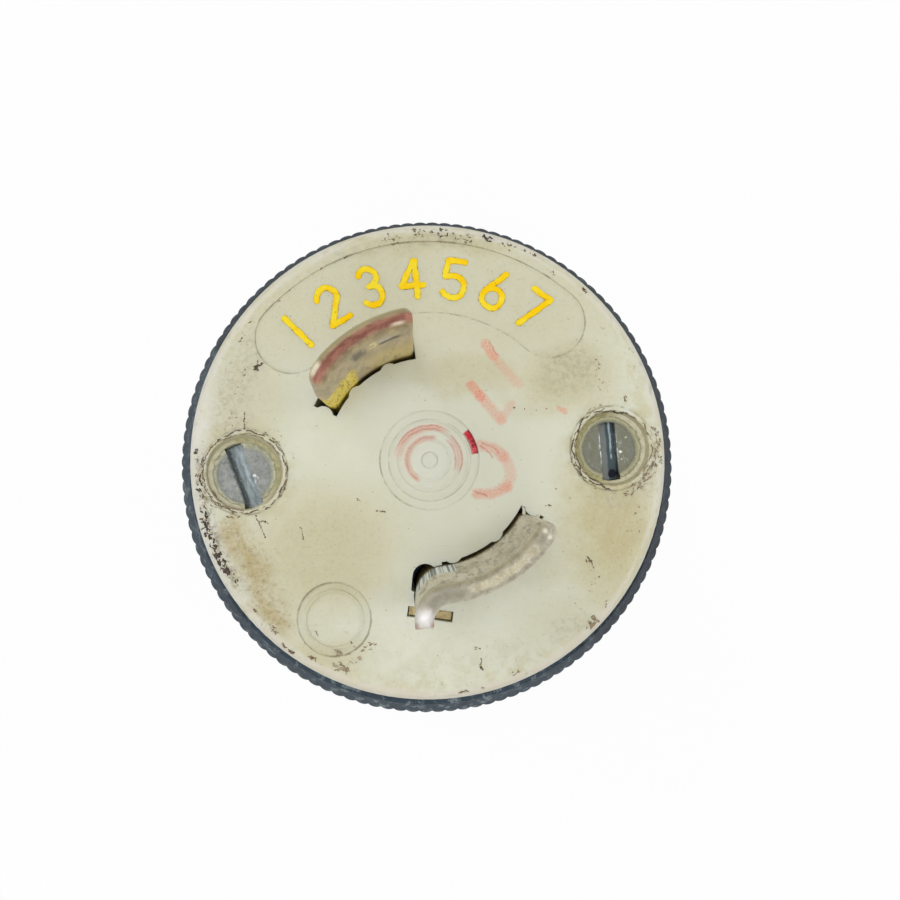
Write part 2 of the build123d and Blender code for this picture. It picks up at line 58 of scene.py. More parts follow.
SCREW_SLOT_ANGLES = (106.8, 91.0)
SCREW_SLOT_WIDTH = 1.25
EDGE_ROUND = 0.8
PANEL_MARGIN = 1.4
PANEL_WIDTH = 5.6
PANEL_HALF_SPAN = 44.7
PANEL_DEPTH = 0.12
GATE_RING_RADII = (3.84, 3.15, 2.45, 1.65)
GATE_DIMPLE_RADIUS = 0.62
MARK_ANGLE = -124.6
MARK_RADII = (2.82, 2.18)
BLADE_INNER_RADIUS = 8.2
BLADE_OUTER_RADIUS = 9.4
HOOK_TURN = -87.0
HOOK_INSIDE_RADIUS = 1.15

face_low, face_high = (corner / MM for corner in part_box("face_plate"))
screw_low, screw_high = (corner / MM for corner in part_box("face_screws"))
shell_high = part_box("body_shell")[1] / MM
FACE_CENTRE = ((face_low.x + face_high.x) / 2, (face_low.y + face_high.y) / 2)
FACE_X, FACE_Y = FACE_CENTRE
FACE_RADIUS = (face_high.x - face_low.x) / 2
FACE_TOP = face_high.z - LIP_HEIGHT
RECESS_CIRCLE = (screw_high.x - screw_low.x) / 2 - SCREW_HEAD_RADIUS
RECESS_CENTRES = ((FACE_X - RECESS_CIRCLE, FACE_Y), (FACE_X + RECESS_CIRCLE, FACE_Y))
# The screws stand a little aside in their recesses
SCREW_CENTRES = (
    (screw_low.x + SCREW_HEAD_RADIUS, screw_low.y + SCREW_HEAD_RADIUS),
    (screw_high.x - SCREW_HEAD_RADIUS, screw_high.y - SCREW_HEAD_RADIUS),
)
HEAD_TOP = screw_high.z
PANEL_RADIUS = FACE_RADIUS - PANEL_MARGIN - PANEL_WIDTH / 2
COLLAR_RADIUS = shell_high.x
COLLAR_FRONT = shell_high.z

# The photograph's camera: tilt about X, Y and Z, shift and distance from the face, focal length in pixels
CAMERA_TILT = (-2.15, 2.05, 3.76)
CAMERA_SHIFT = (1.555, 0.974)
CAMERA_TARGET_DROP = 0.2
CAMERA_DISTANCE = 71.95
CAMERA_CLIP = 5.0
FOCAL_PIXELS = 933.4
IMAGE_PIXELS = 900
SENSOR_WIDTH = 36.0


def around(centre, radius, angle):
    """Point of the XY plane at a distance and an angle from a centre."""
    turn = np.radians(angle)
    return (centre[0] + radius * np.cos(turn), centre[1] + radius * np.sin(turn))


# Node values as fields

def feed(socket, value):
    """Gives a node's input a field, by a link, or a plain number or colour."""
    if isinstance(value, Field):
        socket.id_data.links.new(value.socket, socket)
    elif isinstance(value, tuple) and socket.type == "RGBA":
        socket.default_value = (*value, 1.0)
    else:
        socket.default_value = value


class Field:
    """A number, colour or vector that varies over a surface: the output of a shader node."""

    def __init__(self, socket):
        self.socket = socket

    def math(self, operation, *others):
        node = self.socket.id_data.nodes.new("ShaderNodeMath")
        node.operation = operation
        for socket, value in zip(node.inputs, (self, *others)):
            feed(socket, value)
        return Field(node.outputs[0])

    def __add__(self, other):
        return self.math("ADD", other)

    def __sub__(self, other):
        return self.math("SUBTRACT", other)

    def __mul__(self, other):
        return self.math("MULTIPLY", other)

    def __truediv__(self, other):
        return self.math("DIVIDE", other)

    def __abs__(self):
        return self.math("ABSOLUTE")

    def flipped(self):
        """One less the field."""
        return self.math("MULTIPLY_ADD", -1.0, 1.0)

    def least(self, other):
        return self.math("MINIMUM", other)

    def most(self, other):
        return self.math("MAXIMUM", other)

    def step(self, low, high):
        """Smooth rise from 0 at low to 1 at high, or a fall where low is above high."""
        node = self.socket.id_data.nodes.new("ShaderNodeMapRange")
        node.interpolation_type = "SMOOTHSTEP"
        for socket, value in zip(node.inputs, (self, low, high, 0.0, 1.0)):
            feed(socket, value)
        return Field(node.outputs[0])

    def spread(self, low, high):
        """The field, which runs from 0 to 1, stretched to run from low to high."""
        return self.math("MULTIPLY_ADD", high - low, low)

    def at(self, value, far, near):
        """One where the field is within near of a value, falling to 0 this far from it."""
        return abs(self - value).step(far, near)

    def band(self, low, high, soft):
        """One where the field is between two limits, with soft edges."""
        half = (high - low) / 2
        return self.at(low + half, half + soft, half - soft)

    def arc(self, start, end, soft):
        """Band of an angle in degrees that may run past half a turn."""
        half = (end - start) / 2
        return abs((self - start - half).math("WRAP", 180.0, -180.0)).step(half + soft, half - soft)


def union(shares):
    """The largest of several shares."""
    return functools.reduce(Field.most, shares)


def hypotenuse(across, up):
    """Length of the vector with these two parts."""
    return (across * across + up * up).math("SQRT")


def oval(x, y, patch, far, near):
    """Share of a soft oval patch, given as its centre, half width, half height and strength."""
    centre_x, centre_y, half_width, half_height, strength = patch
    reach = hypotenuse((x - centre_x) / half_width, (y - centre_y) / half_height)
    return reach.step(far, near) * strength


def from_stroke(x, y, points):
    """Distance from the place (x, y) to a stroke of straight runs through several points."""
    distances = []
    for start, end in zip(points, points[1:]):
        run_x, run_y = end[0] - start[0], end[1] - start[1]
        square = run_x**2 + run_y**2
        from_x, from_y = x - start[0], y - start[1]
        along = (from_x * (run_x / square) + from_y * (run_y / square)).most(0.0).least(1.0)
        distances.append(hypotenuse(from_x - along * run_x, from_y - along * run_y))
    return functools.reduce(Field.least, distances)


class Finish:
    """A material in the making: its colour, layer by layer, and its places in millimetres."""

    STREAK_ROUGHNESS = 0.62

    def __init__(self, name):
        self.material = bpy.data.materials.new(name)
        self.material.use_nodes = True
        self.tree = self.material.node_tree
        self.shader = self.tree.nodes["Principled BSDF"]
        scaled = self.node("VectorMath", operation="SCALE")
        scaled.inputs["Scale"].default_value = 1 / MM
        self.tree.links.new(self.node("TexCoord").outputs["Object"], scaled.inputs[0])
        self.place = Field(scaled.outputs[0])
        self.x, self.y, self.z = self.parts(self.place)

    def node(self, kind, **settings):
        made = self.tree.nodes.new("ShaderNode" + kind)
        for name, value in settings.items():
            setattr(made, name, value)
        return made

    def parts(self, vector):
        """The three numbers of a vector."""
        node = self.node("SeparateXYZ")
        feed(node.inputs[0], vector)
        return [Field(output) for output in node.outputs]

    def attribute(self, name):
        """A value that the mesh keeps at its points."""
        return Field(self.node("Attribute", attribute_name=name).outputs["Fac"])

    def texture(self, place, scale, detail, roughness, distortion=0.0):
        """Cloudy noise at a place."""
        node = self.node("TexNoise")
        feed(node.inputs["Vector"], place)
        values = {"Scale": scale, "Detail": detail, "Roughness": roughness, "Distortion": distortion}
        for name, value in values.items():
            node.inputs[name].default_value = value
        return Field(node.outputs["Fac"])

    def noise(self, scale, detail=3, roughness=0.55, shift=(0, 0, 0), stretch=(1, 1, 1), distortion=0.0):
        """Noise with this many features a millimetre, at the place stretched and then shifted."""
        node = self.node("VectorMath", operation="MULTIPLY_ADD")
        for socket, value in zip(node.inputs, (self.place, stretch, shift)):
            feed(socket, value)
        return self.texture(Field(node.outputs[0]), scale, detail, roughness, distortion)

    def ring_noise(self, radius, angle, along, across, detail=4, down=0.0):
        """Noise in streaks round a centre.

        It has so many features a millimetre along a ring, across the ring and down a wall.
        """
        node = self.node("CombineXYZ")
        feed(node.inputs[0], angle * (along * math.radians(FACE_RADIUS)))
        feed(node.inputs[1], radius * across)
        feed(node.inputs[2], (self.z - FACE_TOP) * down)
        return self.texture(Field(node.outputs[0]), 1.0, detail, self.STREAK_ROUGHNESS)

    def polar(self, centre, backward=False):
        """Distance and angle about a point of the XY plane, in degrees from +X or, backward, from -X."""
        across, up = self.x - centre[0], self.y - centre[1]
        distance = hypotenuse(across, up)
        if backward:
            across, up = across * -1.0, up * -1.0
        return distance, up.math("ARCTAN2", across) * math.degrees(1)

    def mix(self, first, second, share):
        """Colour between two colours."""
        node = self.node("Mix", data_type="RGBA")
        for socket, value in zip((node.inputs["Factor"], *node.inputs[6:8]), (share, first, second)):
            feed(socket, value)
        return Field(node.outputs[2])

    def ground(self, first, second, share):
        """Starts the colour with a mixture of two."""
        self.colour = self.mix(first, second, share)

    def lay(self, layer, colour, share):
        """Lays a named layer of a colour over the colour so far."""
        self.colour = self.mix(self.colour, colour, share)
        self.colour.socket.node.label = layer

    def bump(self, height, depth):
        """Surface relief from a height field that runs from 0 to 1, this deep in millimetres."""
        node = self.node("Bump")
        node.inputs["Strength"].default_value = 1.0
        node.inputs["Distance"].default_value = depth * MM
        feed(node.inputs["Height"], height)
        self.tree.links.new(node.outputs[0], self.shader.inputs["Normal"])

    def done(self, **values):
        """The material with its colour and these inputs, named with underscores for spaces."""
        for name, value in {"Base_Color": self.colour, **values}.items():
            feed(self.shader.inputs[name.replace("_", " ")], value)
        return self.material


# Ivory face

CREAM = (0.640, 0.645, 0.528)
CREAM_PALE = (0.69, 0.70, 0.61)
CREAM_YELLOWED = (0.505, 0.462, 0.270)
OCHRE_STAIN = (0.43, 0.345, 0.165)
SMUDGE = (0.36, 0.325, 0.24)
RIM_WORN = (0.65, 0.63, 0.55)
RIM_PINK = (0.62, 0.575, 0.475)
RIM_CLEAN_SHEEN = (0.70, 0.69, 0.64)
SPECKLE_BROWN = (0.25, 0.20, 0.11)
FLECK_BROWN = (0.10, 0.075, 0.05)
GROOVE_DIRT = (0.23, 0.195, 0.125)
RECESS_OIL = (0.44, 0.40, 0.225)
RED_INK = (0.52, 0.012, 0.03)
RED_INK_PALE = (0.72, 0.17, 0.17)
RED_INK_DARK = (0.14, 0.004, 0.010)
RED_SMEAR = (0.71, 0.245, 0.155)
RED_DRY = (0.50, 0.085, 0.075)

# Soft patches on the face: centre, half width, half height and strength
PALE_PATCHES = (
    (-3.0, 4.6, 3.6, 2.2, 0.9),
    (0.3, 0.6, 3.6, 3.2, 0.8),
    (1.5, -13.0, 7.0, 4.0, 0.35),
    (-5.0, 2.0, 5.0, 4.0, 0.25),
    (8.0, -9.5, 4.0, 4.0, 0.30),
)
YELLOW_PATCHES = (
    (13.4, -6.5, 4.8, 7.5, 1.0),
    (9.5, -8.5, 3.5, 3.0, 0.45),
    (3.6, 7.0, 5.0, 2.4, 0.75),
    (-8.5, -6.0, 7.0, 6.0, 0.85),
    (-13.5, 6.0, 4.0, 5.5, 0.50),
    (11.0, 6.2, 4.6, 4.2, 0.85),
    (9.6, -13.0, 5.0, 3.4, 0.40),
    (-9.6, -14.0, 5.0, 2.6, 0.70),
    (2.0, 17.2, 13.0, 1.8, 0.85),
)
SMUDGE_PATCHES = (
    (11.4, 6.6, 2.6, 2.2, 0.55),
    (13.8, -3.6, 2.0, 1.0, 0.40),
    (16.5, -2.4, 1.3, 1.4, 0.55),
    (3.0, 17.4, 5.5, 0.7, 0.60),
    (-5.0, 16.9, 3.0, 0.6, 0.30),
    (-14.6, 4.4, 1.6, 1.6, 0.35),
    (10.0, -13.4, 2.2, 1.2, 0.30),
)
# Points along a band of ochre stain, and a patch of it
OCHRE_BAND = (
    (-15.7, -4.2), (-14.9, -5.4), (-14.1, -6.9), (-13.7, -8.3), (-13.2, -9.7), (-12.5, -11.2),
)
OCHRE_PATCH = (14.2, -5.5, 2.8, 5.5, 0.42)

# Red smears left by a marker: points along each stroke, half width and strength
RED_STROKES = (
    (((4.90, 9.0), (5.5, 8.0)), 0.40, 0.62),
    (((5.3, 8.2), (6.2, 7.0), (7.28, 5.7)), 0.42, 0.36),
    (((3.55, 5.9), (4.3, 4.9)), 0.40, 0.80),
    (((4.2, 5.0), (4.9, 4.1), (5.70, 3.05)), 0.46, 0.55),
    (((5.70, 3.05), (6.3, 3.7), (6.6, 4.2)), 0.36, 0.34),
    (((10.3, 3.6), (10.75, 3.35)), 0.24, 0.60),
    (((3.90, 1.20), (5.10, 0.80), (5.75, 0.10)), 0.46, 0.56),
    (((5.60, 0.30), (6.00, -0.30), (6.22, -1.35), (5.75, -2.15)), 0.48, 0.40),
    (((5.90, -2.15), (4.75, -2.62), (3.45, -2.60)), 0.42, 0.66),
)
RED_LINES = (
    (((3.95, 1.15), (4.40, 0.80), (4.85, 0.20)), 0.06, 0.7),
    (((4.15, 1.35), (4.90, 1.00), (5.35, 0.50)), 0.08, 0.5),
    (((5.20, 9.15), (5.75, 8.10)), 0.06, 0.5),
    (((3.40, -2.45), (4.20, -2.75)), 0.09, 0.6),
)
# Red in the gate's rings: radius, reach, full reach, start and end angle, softness and strength
GATE_SMEARS = (
    (2.52, 0.34, 0.14, 58, 152, 12, 0.55),
    (2.42, 0.46, 0.20, 95, 170, 12, 0.32),
    (1.72, 0.34, 0.12, 74, 238, 10, 0.42),
    (2.26, 0.46, 0.20, -22, 44, 10, 0.30),
)
GATE_DRY_LINES = (
    (2.68, 0.10, 0.02, 58, 152, 12, 0.60),
    (2.40, 0.09, 0.02, 66, 128, 10, 0.55),
    (1.80, 0.12, 0.03, 74, 238, 10, 0.50),
    (2.02, 0.09, 0.02, -22, 44, 10, 0.55),
    (2.50, 0.10, 0.02, -22, 44, 10, 0.60),
)
RED_BLOTCH_ANGLES = (4.0, 35.0)
# Strength of the painted shade line and the painted lit edge at each of the gate's inner rings and round
# its dimple
GATE_RING_SHADING = (0.30, 0.16, 0.14, 0.30)


class FaceFinish(Finish):
    """The ivory face's finish, with the fields that its stains, smears and grooves share."""

    def __init__(self, name):
        super().__init__(name)
        self.radius, self.angle = self.polar(FACE_CENTRE)
        _, self.left_angle = self.polar(FACE_CENTRE, backward=True)
        self.on_top = self.z.step(FACE_TOP - 0.9, FACE_TOP - 0.3)
        self.cloud = self.noise(0.16, 5, 0.6)
        self.mottle = self.noise(0.9, 6, 0.68, shift=(7, 3, 1))
        self.grain = self.noise(3.4, 6, 0.8, shift=(1, 8, 2))
        self.speck = self.noise(2.2, 7, 0.78, shift=(5, 5, 8), distortion=0.4)
        self.from_panel = self.panel_middle()

    def panel_middle(self):
        """Distance from the arched panel's middle line, an arc round the face's centre with two ends."""
        end = math.radians(90 - PANEL_HALF_SPAN)
        across, up = abs(self.x - FACE_X), self.y - FACE_Y
        from_end = hypotenuse(across - PANEL_RADIUS * math.cos(end), up - PANEL_RADIUS * math.sin(end))
        from_arc = abs(self.radius - PANEL_RADIUS)
        past_end = (across * math.tan(end) - up).step(0.0, 0.001)
        return from_arc + (from_end - from_arc) * past_end

    def stain(self):
        """Yellowing, pale patches, ochre stains and smudges."""
        mottle, grain, speck = self.mottle, self.grain, self.speck
        x = self.x + (mottle - 0.5) * 3.0
        y = self.y + (self.cloud - 0.5) * 6.0
        self.ground(CREAM, CREAM_YELLOWED, self.cloud.step(0.46, 0.68) * 0.22)
        for patch in PALE_PATCHES:
            self.lay("pale patch", CREAM_PALE, oval(x, y, patch, 1.3, 0.25))
        soil = self.radius.step(12.0, 18.0) * mottle.step(0.38, 0.62) * 0.45
        for patch in YELLOW_PATCHES:
            soil = soil.most(oval(x, y, patch, 1.3, 0.25) * mottle.spread(0.55, 1.1))
        soil = soil.most(self.y.step(5.0, 11.5) * mottle.spread(0.28, 0.58))
        self.lay("yellowing", CREAM_YELLOWED, soil.least(1.0))
        streak = self.ring_noise(self.radius, self.left_angle, 0.22, 0.55, 6, down=0.5)
        near_band = from_stroke(x, self.y, OCHRE_BAND).step(2.1, 0.4)
        stained = near_band * streak.step(0.22, 0.72) * mottle.spread(0.65, 1.2)
        self.lay("ochre band", OCHRE_STAIN, stained.least(1.0))
        self.lay("ochre patch", OCHRE_STAIN, oval(x, y, OCHRE_PATCH, 1.2, 0.3) * streak.step(0.30, 0.66))
        self.lay("speckle in the band", SPECKLE_BROWN, near_band * grain.step(0.50, 0.60) * 0.40)
        dirty = soil.most(near_band)
        self.lay("brown speckle", SPECKLE_BROWN, dirty * grain.step(0.52, 0.70) * 0.42)
        self.lay("pale speckle", CREAM_PALE, dirty * grain.step(0.46, 0.32) * 0.30)
        out_of_panel = self.from_panel.step(PANEL_WIDTH / 2 - 0.1, PANEL_WIDTH / 2 + 0.1)
        upper_left = self.angle.band(98, 176, 10) * self.radius.band(14.6, 17.3, 0.7) * out_of_panel
        smudged = upper_left * 0.40
        for patch in SMUDGE_PATCHES:
            smudged = smudged.most(oval(x, self.y, patch, 1.25, 0.45))
        self.lay("smudges", SMUDGE, smudged * speck.step(0.42, 0.62))
        specks = self.radius.step(9.0, 15.5) * speck.step(0.59, 0.69)
        self.lay("outer specks", SPECKLE_BROWN, specks * self.on_top * 0.45)

    def wear_rim(self):
        """Streaks all round the rim, a warm tint at the bottom, and at the left a pale band, clean moulding
        with a painted highlight on the rounded edge, and caked dirt.
        """
        radius, angle, mottle = self.radius, self.angle, self.mottle
        rim = radius.step(FACE_RADIUS - 1.0, FACE_RADIUS - 0.5)
        streak = self.ring_noise(radius, self.left_angle, 0.5, 1.8, 6, down=0.7)
        self.lay("worn rim", RIM_WORN, rim * streak.step(0.36, 0.58) * 0.8)
        self.lay("soiled rim", SMUDGE, rim * streak.step(0.56, 0.70) * 0.5)
        low = angle.arc(-140, -40, 14) * radius.band(FACE_RADIUS - 0.75, FACE_RADIUS, 0.15)
        self.lay("warm rim", RIM_PINK, low * mottle.step(0.30, 0.52) * 0.7)
        # Pale band at the left of the rim: clean moulding, partly a painted highlight where the rounded
        # edge catches light
        left = angle.arc(159, 201, 13) * radius.step(16.4, 17.5)
        self.lay("clean rim with painted sheen", RIM_CLEAN_SHEEN, left * mottle.step(0.36, 0.55) * 0.8)
        caked = angle.arc(175, 211, 4) * radius.band(17.0, 17.8, 0.35)
        self.lay("caked rim", GROOVE_DIRT, caked * self.speck.step(0.43, 0.60) * 0.85)

    def smear_red(self):
        """Red marker: strokes and thin lines on the face, rings in the gate and one blotch of ink."""
        on_top, mottle = self.on_top, self.mottle
        x = self.x + (self.noise(2.4, shift=(3, 1, 9)) - 0.5) * 0.34
        y = self.y + (self.noise(2.4, shift=(5, 7, 2)) - 0.5) * 0.34
        patchy = self.noise(7.0, 6, 0.9, shift=(2, 2, 4)).step(0.42, 0.58)
        dots = self.noise(8.0, 4, 0.8, shift=(8, 1, 3)).step(0.56, 0.66)
        for points, half_width, strength in RED_STROKES:
            near = from_stroke(x, y, points).step(half_width * 1.3, half_width * 0.4) * strength * on_top
            self.lay("red stroke", RED_SMEAR, near * patchy.spread(0.35, 1.05))
            self.lay("dry dots", RED_DRY, near * dots * 1.2)
        for points, half_width, strength in RED_LINES:
            near = from_stroke(x, y, points).step(half_width * 1.5, half_width * 0.4) * strength
            self.lay("thin red line", RED_DRY, near * patchy.spread(0.4, 1.0) * on_top)
        wavy = self.radius + (self.noise(1.6, shift=(4, 6, 1)) - 0.5) * 0.22
        smeared, dried = (
            union(
                wavy.at(radius, far, near) * self.angle.arc(start, end, soft) * strength
                for radius, far, near, start, end, soft, strength in rings
            )
            for rings in (GATE_SMEARS, GATE_DRY_LINES)
        )
        self.lay("red rings", RED_SMEAR, smeared * patchy.spread(0.6, 1.1) * on_top)
        self.lay("dry red rings", RED_DRY, dried * patchy.spread(0.3, 1.0) * on_top)
        outer, inner = GATE_RING_RADII[:2]
        blotch = self.radius.band(inner + 0.12, outer - 0.02, 0.04)
        blotch = blotch * (self.angle + (mottle - 0.5) * 6.0).band(*RED_BLOTCH_ANGLES, 1.0)
        edge = self.radius.band(inner + 0.20, outer - 0.12, 0.05).flipped()
        clot = self.noise(3.4, shift=(9, 9, 1)).step(0.54, 0.60)
        ink = self.mix(RED_INK, RED_INK_PALE, patchy.most(dots) * mottle.step(0.62, 0.44))
        ink = self.mix(ink, RED_INK_DARK, edge.most(clot) * 0.75)
        self.lay("blotch of ink", ink, blotch * on_top)

    def fill_grooves(self):
        """Dirt in the grooves of panel, gate, mark and recesses, oil in the recesses, painted shade at the
        gate's inner rings.

        Gives the share of dirt and painted shade in the grooves and the nearness of a recess.
        """
        radius, on_top, mottle = self.radius, self.on_top, self.mottle
        along = self.noise(0.8, 5, 0.75, shift=(11, 4, 6))
        gate_left = self.angle.arc(140, 250, 25).spread(0.15, 0.60)
        lines = [
            self.from_panel.at(PANEL_WIDTH / 2, 0.09, 0.02) * along.step(0.42, 0.64) * 0.65,
            radius.at(GATE_RING_RADII[0], 0.08, 0.02) * along.step(0.40, 0.62) * gate_left,
        ]
        # The dark lines at the gate's inner rings and round its dimple are painted shade of their relief,
        # and the pale lines beside them are painted lit edges
        for ring, strength in zip((*GATE_RING_RADII[1:], GATE_DIMPLE_RADIUS), GATE_RING_SHADING):
            lines.append(radius.at(ring, 0.09, 0.02) * along.step(0.38, 0.60) * strength)
            lit_edge = radius.at(ring + 0.16, 0.10, 0.02) * on_top * strength
            self.lay("lit edge of a ring", CREAM_PALE, lit_edge)
        mark_radius, mark_turn = self.polar(around(FACE_CENTRE, RECESS_CIRCLE, MARK_ANGLE))
        bare_mark = mark_radius.step(MARK_RADII[1], MARK_RADII[1] - 0.5) * on_top
        self.lay("bare mark", CREAM_PALE, bare_mark * mottle.spread(0.05, 0.35))
        mark_dark = abs(abs(mark_turn - 45.0) - 90.0).step(70.0, 30.0).spread(0.30, 0.75)
        lines.append(mark_radius.at(MARK_RADII[0], 0.12, 0.03) * along.step(0.36, 0.58) * mark_dark)
        lines.append(mark_radius.at(MARK_RADII[1], 0.12, 0.03) * along.step(0.44, 0.70) * 0.30)
        halos = []
        for centre in RECESS_CENTRES:
            from_screw, _ = self.polar(centre)
            edge = from_screw.at(RECESS_RADIUS + 0.02, 0.10, 0.03)
            lip_foot = from_screw.at(RECESS_RADIUS + LIP_WIDTH, 0.12, 0.03)
            lines += [edge * along.step(0.36, 0.54) * 0.8, lip_foot * along.step(0.46, 0.60) * 0.7]
            halos.append(from_screw.at(RECESS_RADIUS + 0.5, 1.2, 0.1))
            within = from_screw.step(RECESS_RADIUS + 0.1, RECESS_RADIUS - 0.1)
            self.lay("oil in a recess", RECESS_OIL, within * mottle.spread(0.55, 1.0))
        grooves, near_screw = union(lines), union(halos)
        # Dirt in the grooves, with painted shade at the gate's inner rings
        self.lay("dirt and painted shade in the grooves", GROOVE_DIRT, grooves * on_top)
        yellowed = near_screw * mottle.step(0.36, 0.60) * on_top
        self.lay("yellow round the screws", CREAM_YELLOWED, yellowed * 0.4)
        return grooves, near_screw


def ivory_moulding():
    """Cream moulding, yellowed and soiled towards the rim, with dirt in its grooves, painted shade and lit
    edges at the gate's inner rings, and red smears.
    """
    face = FaceFinish("ivory_moulding")
    face.stain()
    face.wear_rim()
    face.smear_red()
    grooves, near_screw = face.fill_grooves()
    rim_band = face.radius.step(15.4, 17.4) * face.radius.step(18.4, 18.0)
    density = (rim_band * 0.75).most(near_screw * 0.8)
    fleck = face.noise(2.8, 6, 0.72, shift=(6, 1, 5), distortion=0.5)
    flecks = (fleck - density.spread(0.745, 0.635)).step(0.0, 0.04)
    face.lay("flecks of grime", FLECK_BROWN, flecks * face.on_top * 0.75)
    scratch = face.noise(1.4, 2, 0.4, shift=(9, 2, 7), stretch=(0.25, 4.0, 1.0)).step(0.60, 0.70)
    face.bump(face.grain * 0.5 + face.mottle * 0.4 - scratch * 0.2 - grooves * 0.4 + flecks * 0.4, 0.03)
    return face.done(
        Roughness=face.mottle.spread(0.38, 0.56) + flecks * 0.2, Specular_IOR_Level=0.4,
        Subsurface_Weight=0.35, Subsurface_Scale=1.6 * MM, Subsurface_Radius=(1.0, 0.85, 0.5),
    )


# Other finishes

# Painted glints on the screws' heads: place, reach and strength
SCREW_GLINTS = (
    (-13.55, -0.05, 0.17, 0.8), (-13.30, -0.22, 0.13, 0.7), (14.95, -0.05, 0.14, 0.85),
    (15.02, -0.62, 0.11, 0.6), (15.45, 1.05, 0.14, 0.7),
)
SLOT_DARK_SPOT = (14.40, -1.70)
# Heights over the face between which the finish of the blades' tips sets in
TIP_RISE = (12.2, 13.2)
# Two painted glints at the end of the nickel blade: radius and angle
TIP_GLINT_SPOTS = ((8.55, -38.0), (9.0, -38.8))


def black_moulding():
    """Blue-black moulding, dull and scuffed, with grey blotches and a painted bluish highlight on the
    collar's front, and painted shade between its teeth.
    """
    finish = Finish("black_moulding")
    radius, angle = finish.polar((0.0, 0.0))
    cloud = finish.noise(0.35, 5, 0.62)
    rubbed_and_sheen = finish.noise(1.1, 7, 0.75, shift=(3, 6, 2))
    grain = finish.noise(5.0, 5, 0.75, shift=(8, 2, 4))
    scuff = finish.noise(0.8, 6, 0.72, shift=(2, 9, 5), stretch=(0.4, 0.4, 3.0))
    front = (finish.z + (cloud - 0.5) * 4.0).step(COLLAR_FRONT - 4.0, COLLAR_FRONT - 2.0)
    crest = radius.step(COLLAR_RADIUS - 0.18, COLLAR_RADIUS - 0.03)
    # Painted bluish highlight on the collar's front, at the bottom and at the left
    slate = angle.arc(-150, -55, 18).most(angle.arc(148, 212, 10)) * front
    finish.ground((0.016, 0.025, 0.038), (0.048, 0.068, 0.088), grain.step(0.38, 0.64))
    finish.lay("scuffs", (0.085, 0.100, 0.108), scuff.step(0.56, 0.72) * front.flipped() * 0.55)
    # Paler crests of the teeth: wear, partly a painted highlight
    finish.lay("rubbed teeth", (0.19, 0.225, 0.235), crest * rubbed_and_sheen.step(0.46, 0.60) * 0.8)
    # Painted shade between the teeth
    between = crest.flipped() * rubbed_and_sheen.step(0.60, 0.44) * front.spread(0.2, 0.6)
    finish.lay("dark between teeth", (0.006, 0.009, 0.014), between)
    finish.lay("slate", (0.046, 0.070, 0.092), slate * 0.7)
    lowest = angle.arc(-112, -72, 14).spread(0.45, 0.75)
    # Paler painted flecks in that highlight, lowest down
    finish.lay("pale flecks", (0.25, 0.30, 0.31), slate * rubbed_and_sheen.step(0.52, 0.62) * lowest)
    finish.lay("grey blotches", (0.12, 0.135, 0.13), rubbed_and_sheen.step(0.57, 0.70) * front.spread(0.2, 0.5))
    dark = rubbed_and_sheen.step(0.43, 0.35) * (front - slate * 0.4).spread(0.3, 0.6)
    finish.lay("dark blotches", (0.010, 0.012, 0.016), dark)
    finish.bump(grain * 0.5 + rubbed_and_sheen * 0.6, 0.08)
    return finish.done(Roughness=cloud.spread(0.50, 0.68), Specular_IOR_Level=0.28)


def carrier_moulding():
    """Dark insulating moulding with pale flecks of filler."""
    finish = Finish("carrier_moulding")
    cloud = finish.noise(0.5, 4)
    filler = finish.noise(4.5, 4, 0.7, shift=(4, 1, 8))
    finish.ground((0.035, 0.055, 0.085), (0.055, 0.085, 0.125), cloud.step(0.35, 0.65))
    finish.lay("filler", (0.09, 0.08, 0.06), filler.step(0.60, 0.72) * 0.6)
    finish.bump(filler, 0.02)
    return finish.done(Roughness=cloud.spread(0.5, 0.65), Specular_IOR_Level=0.3)


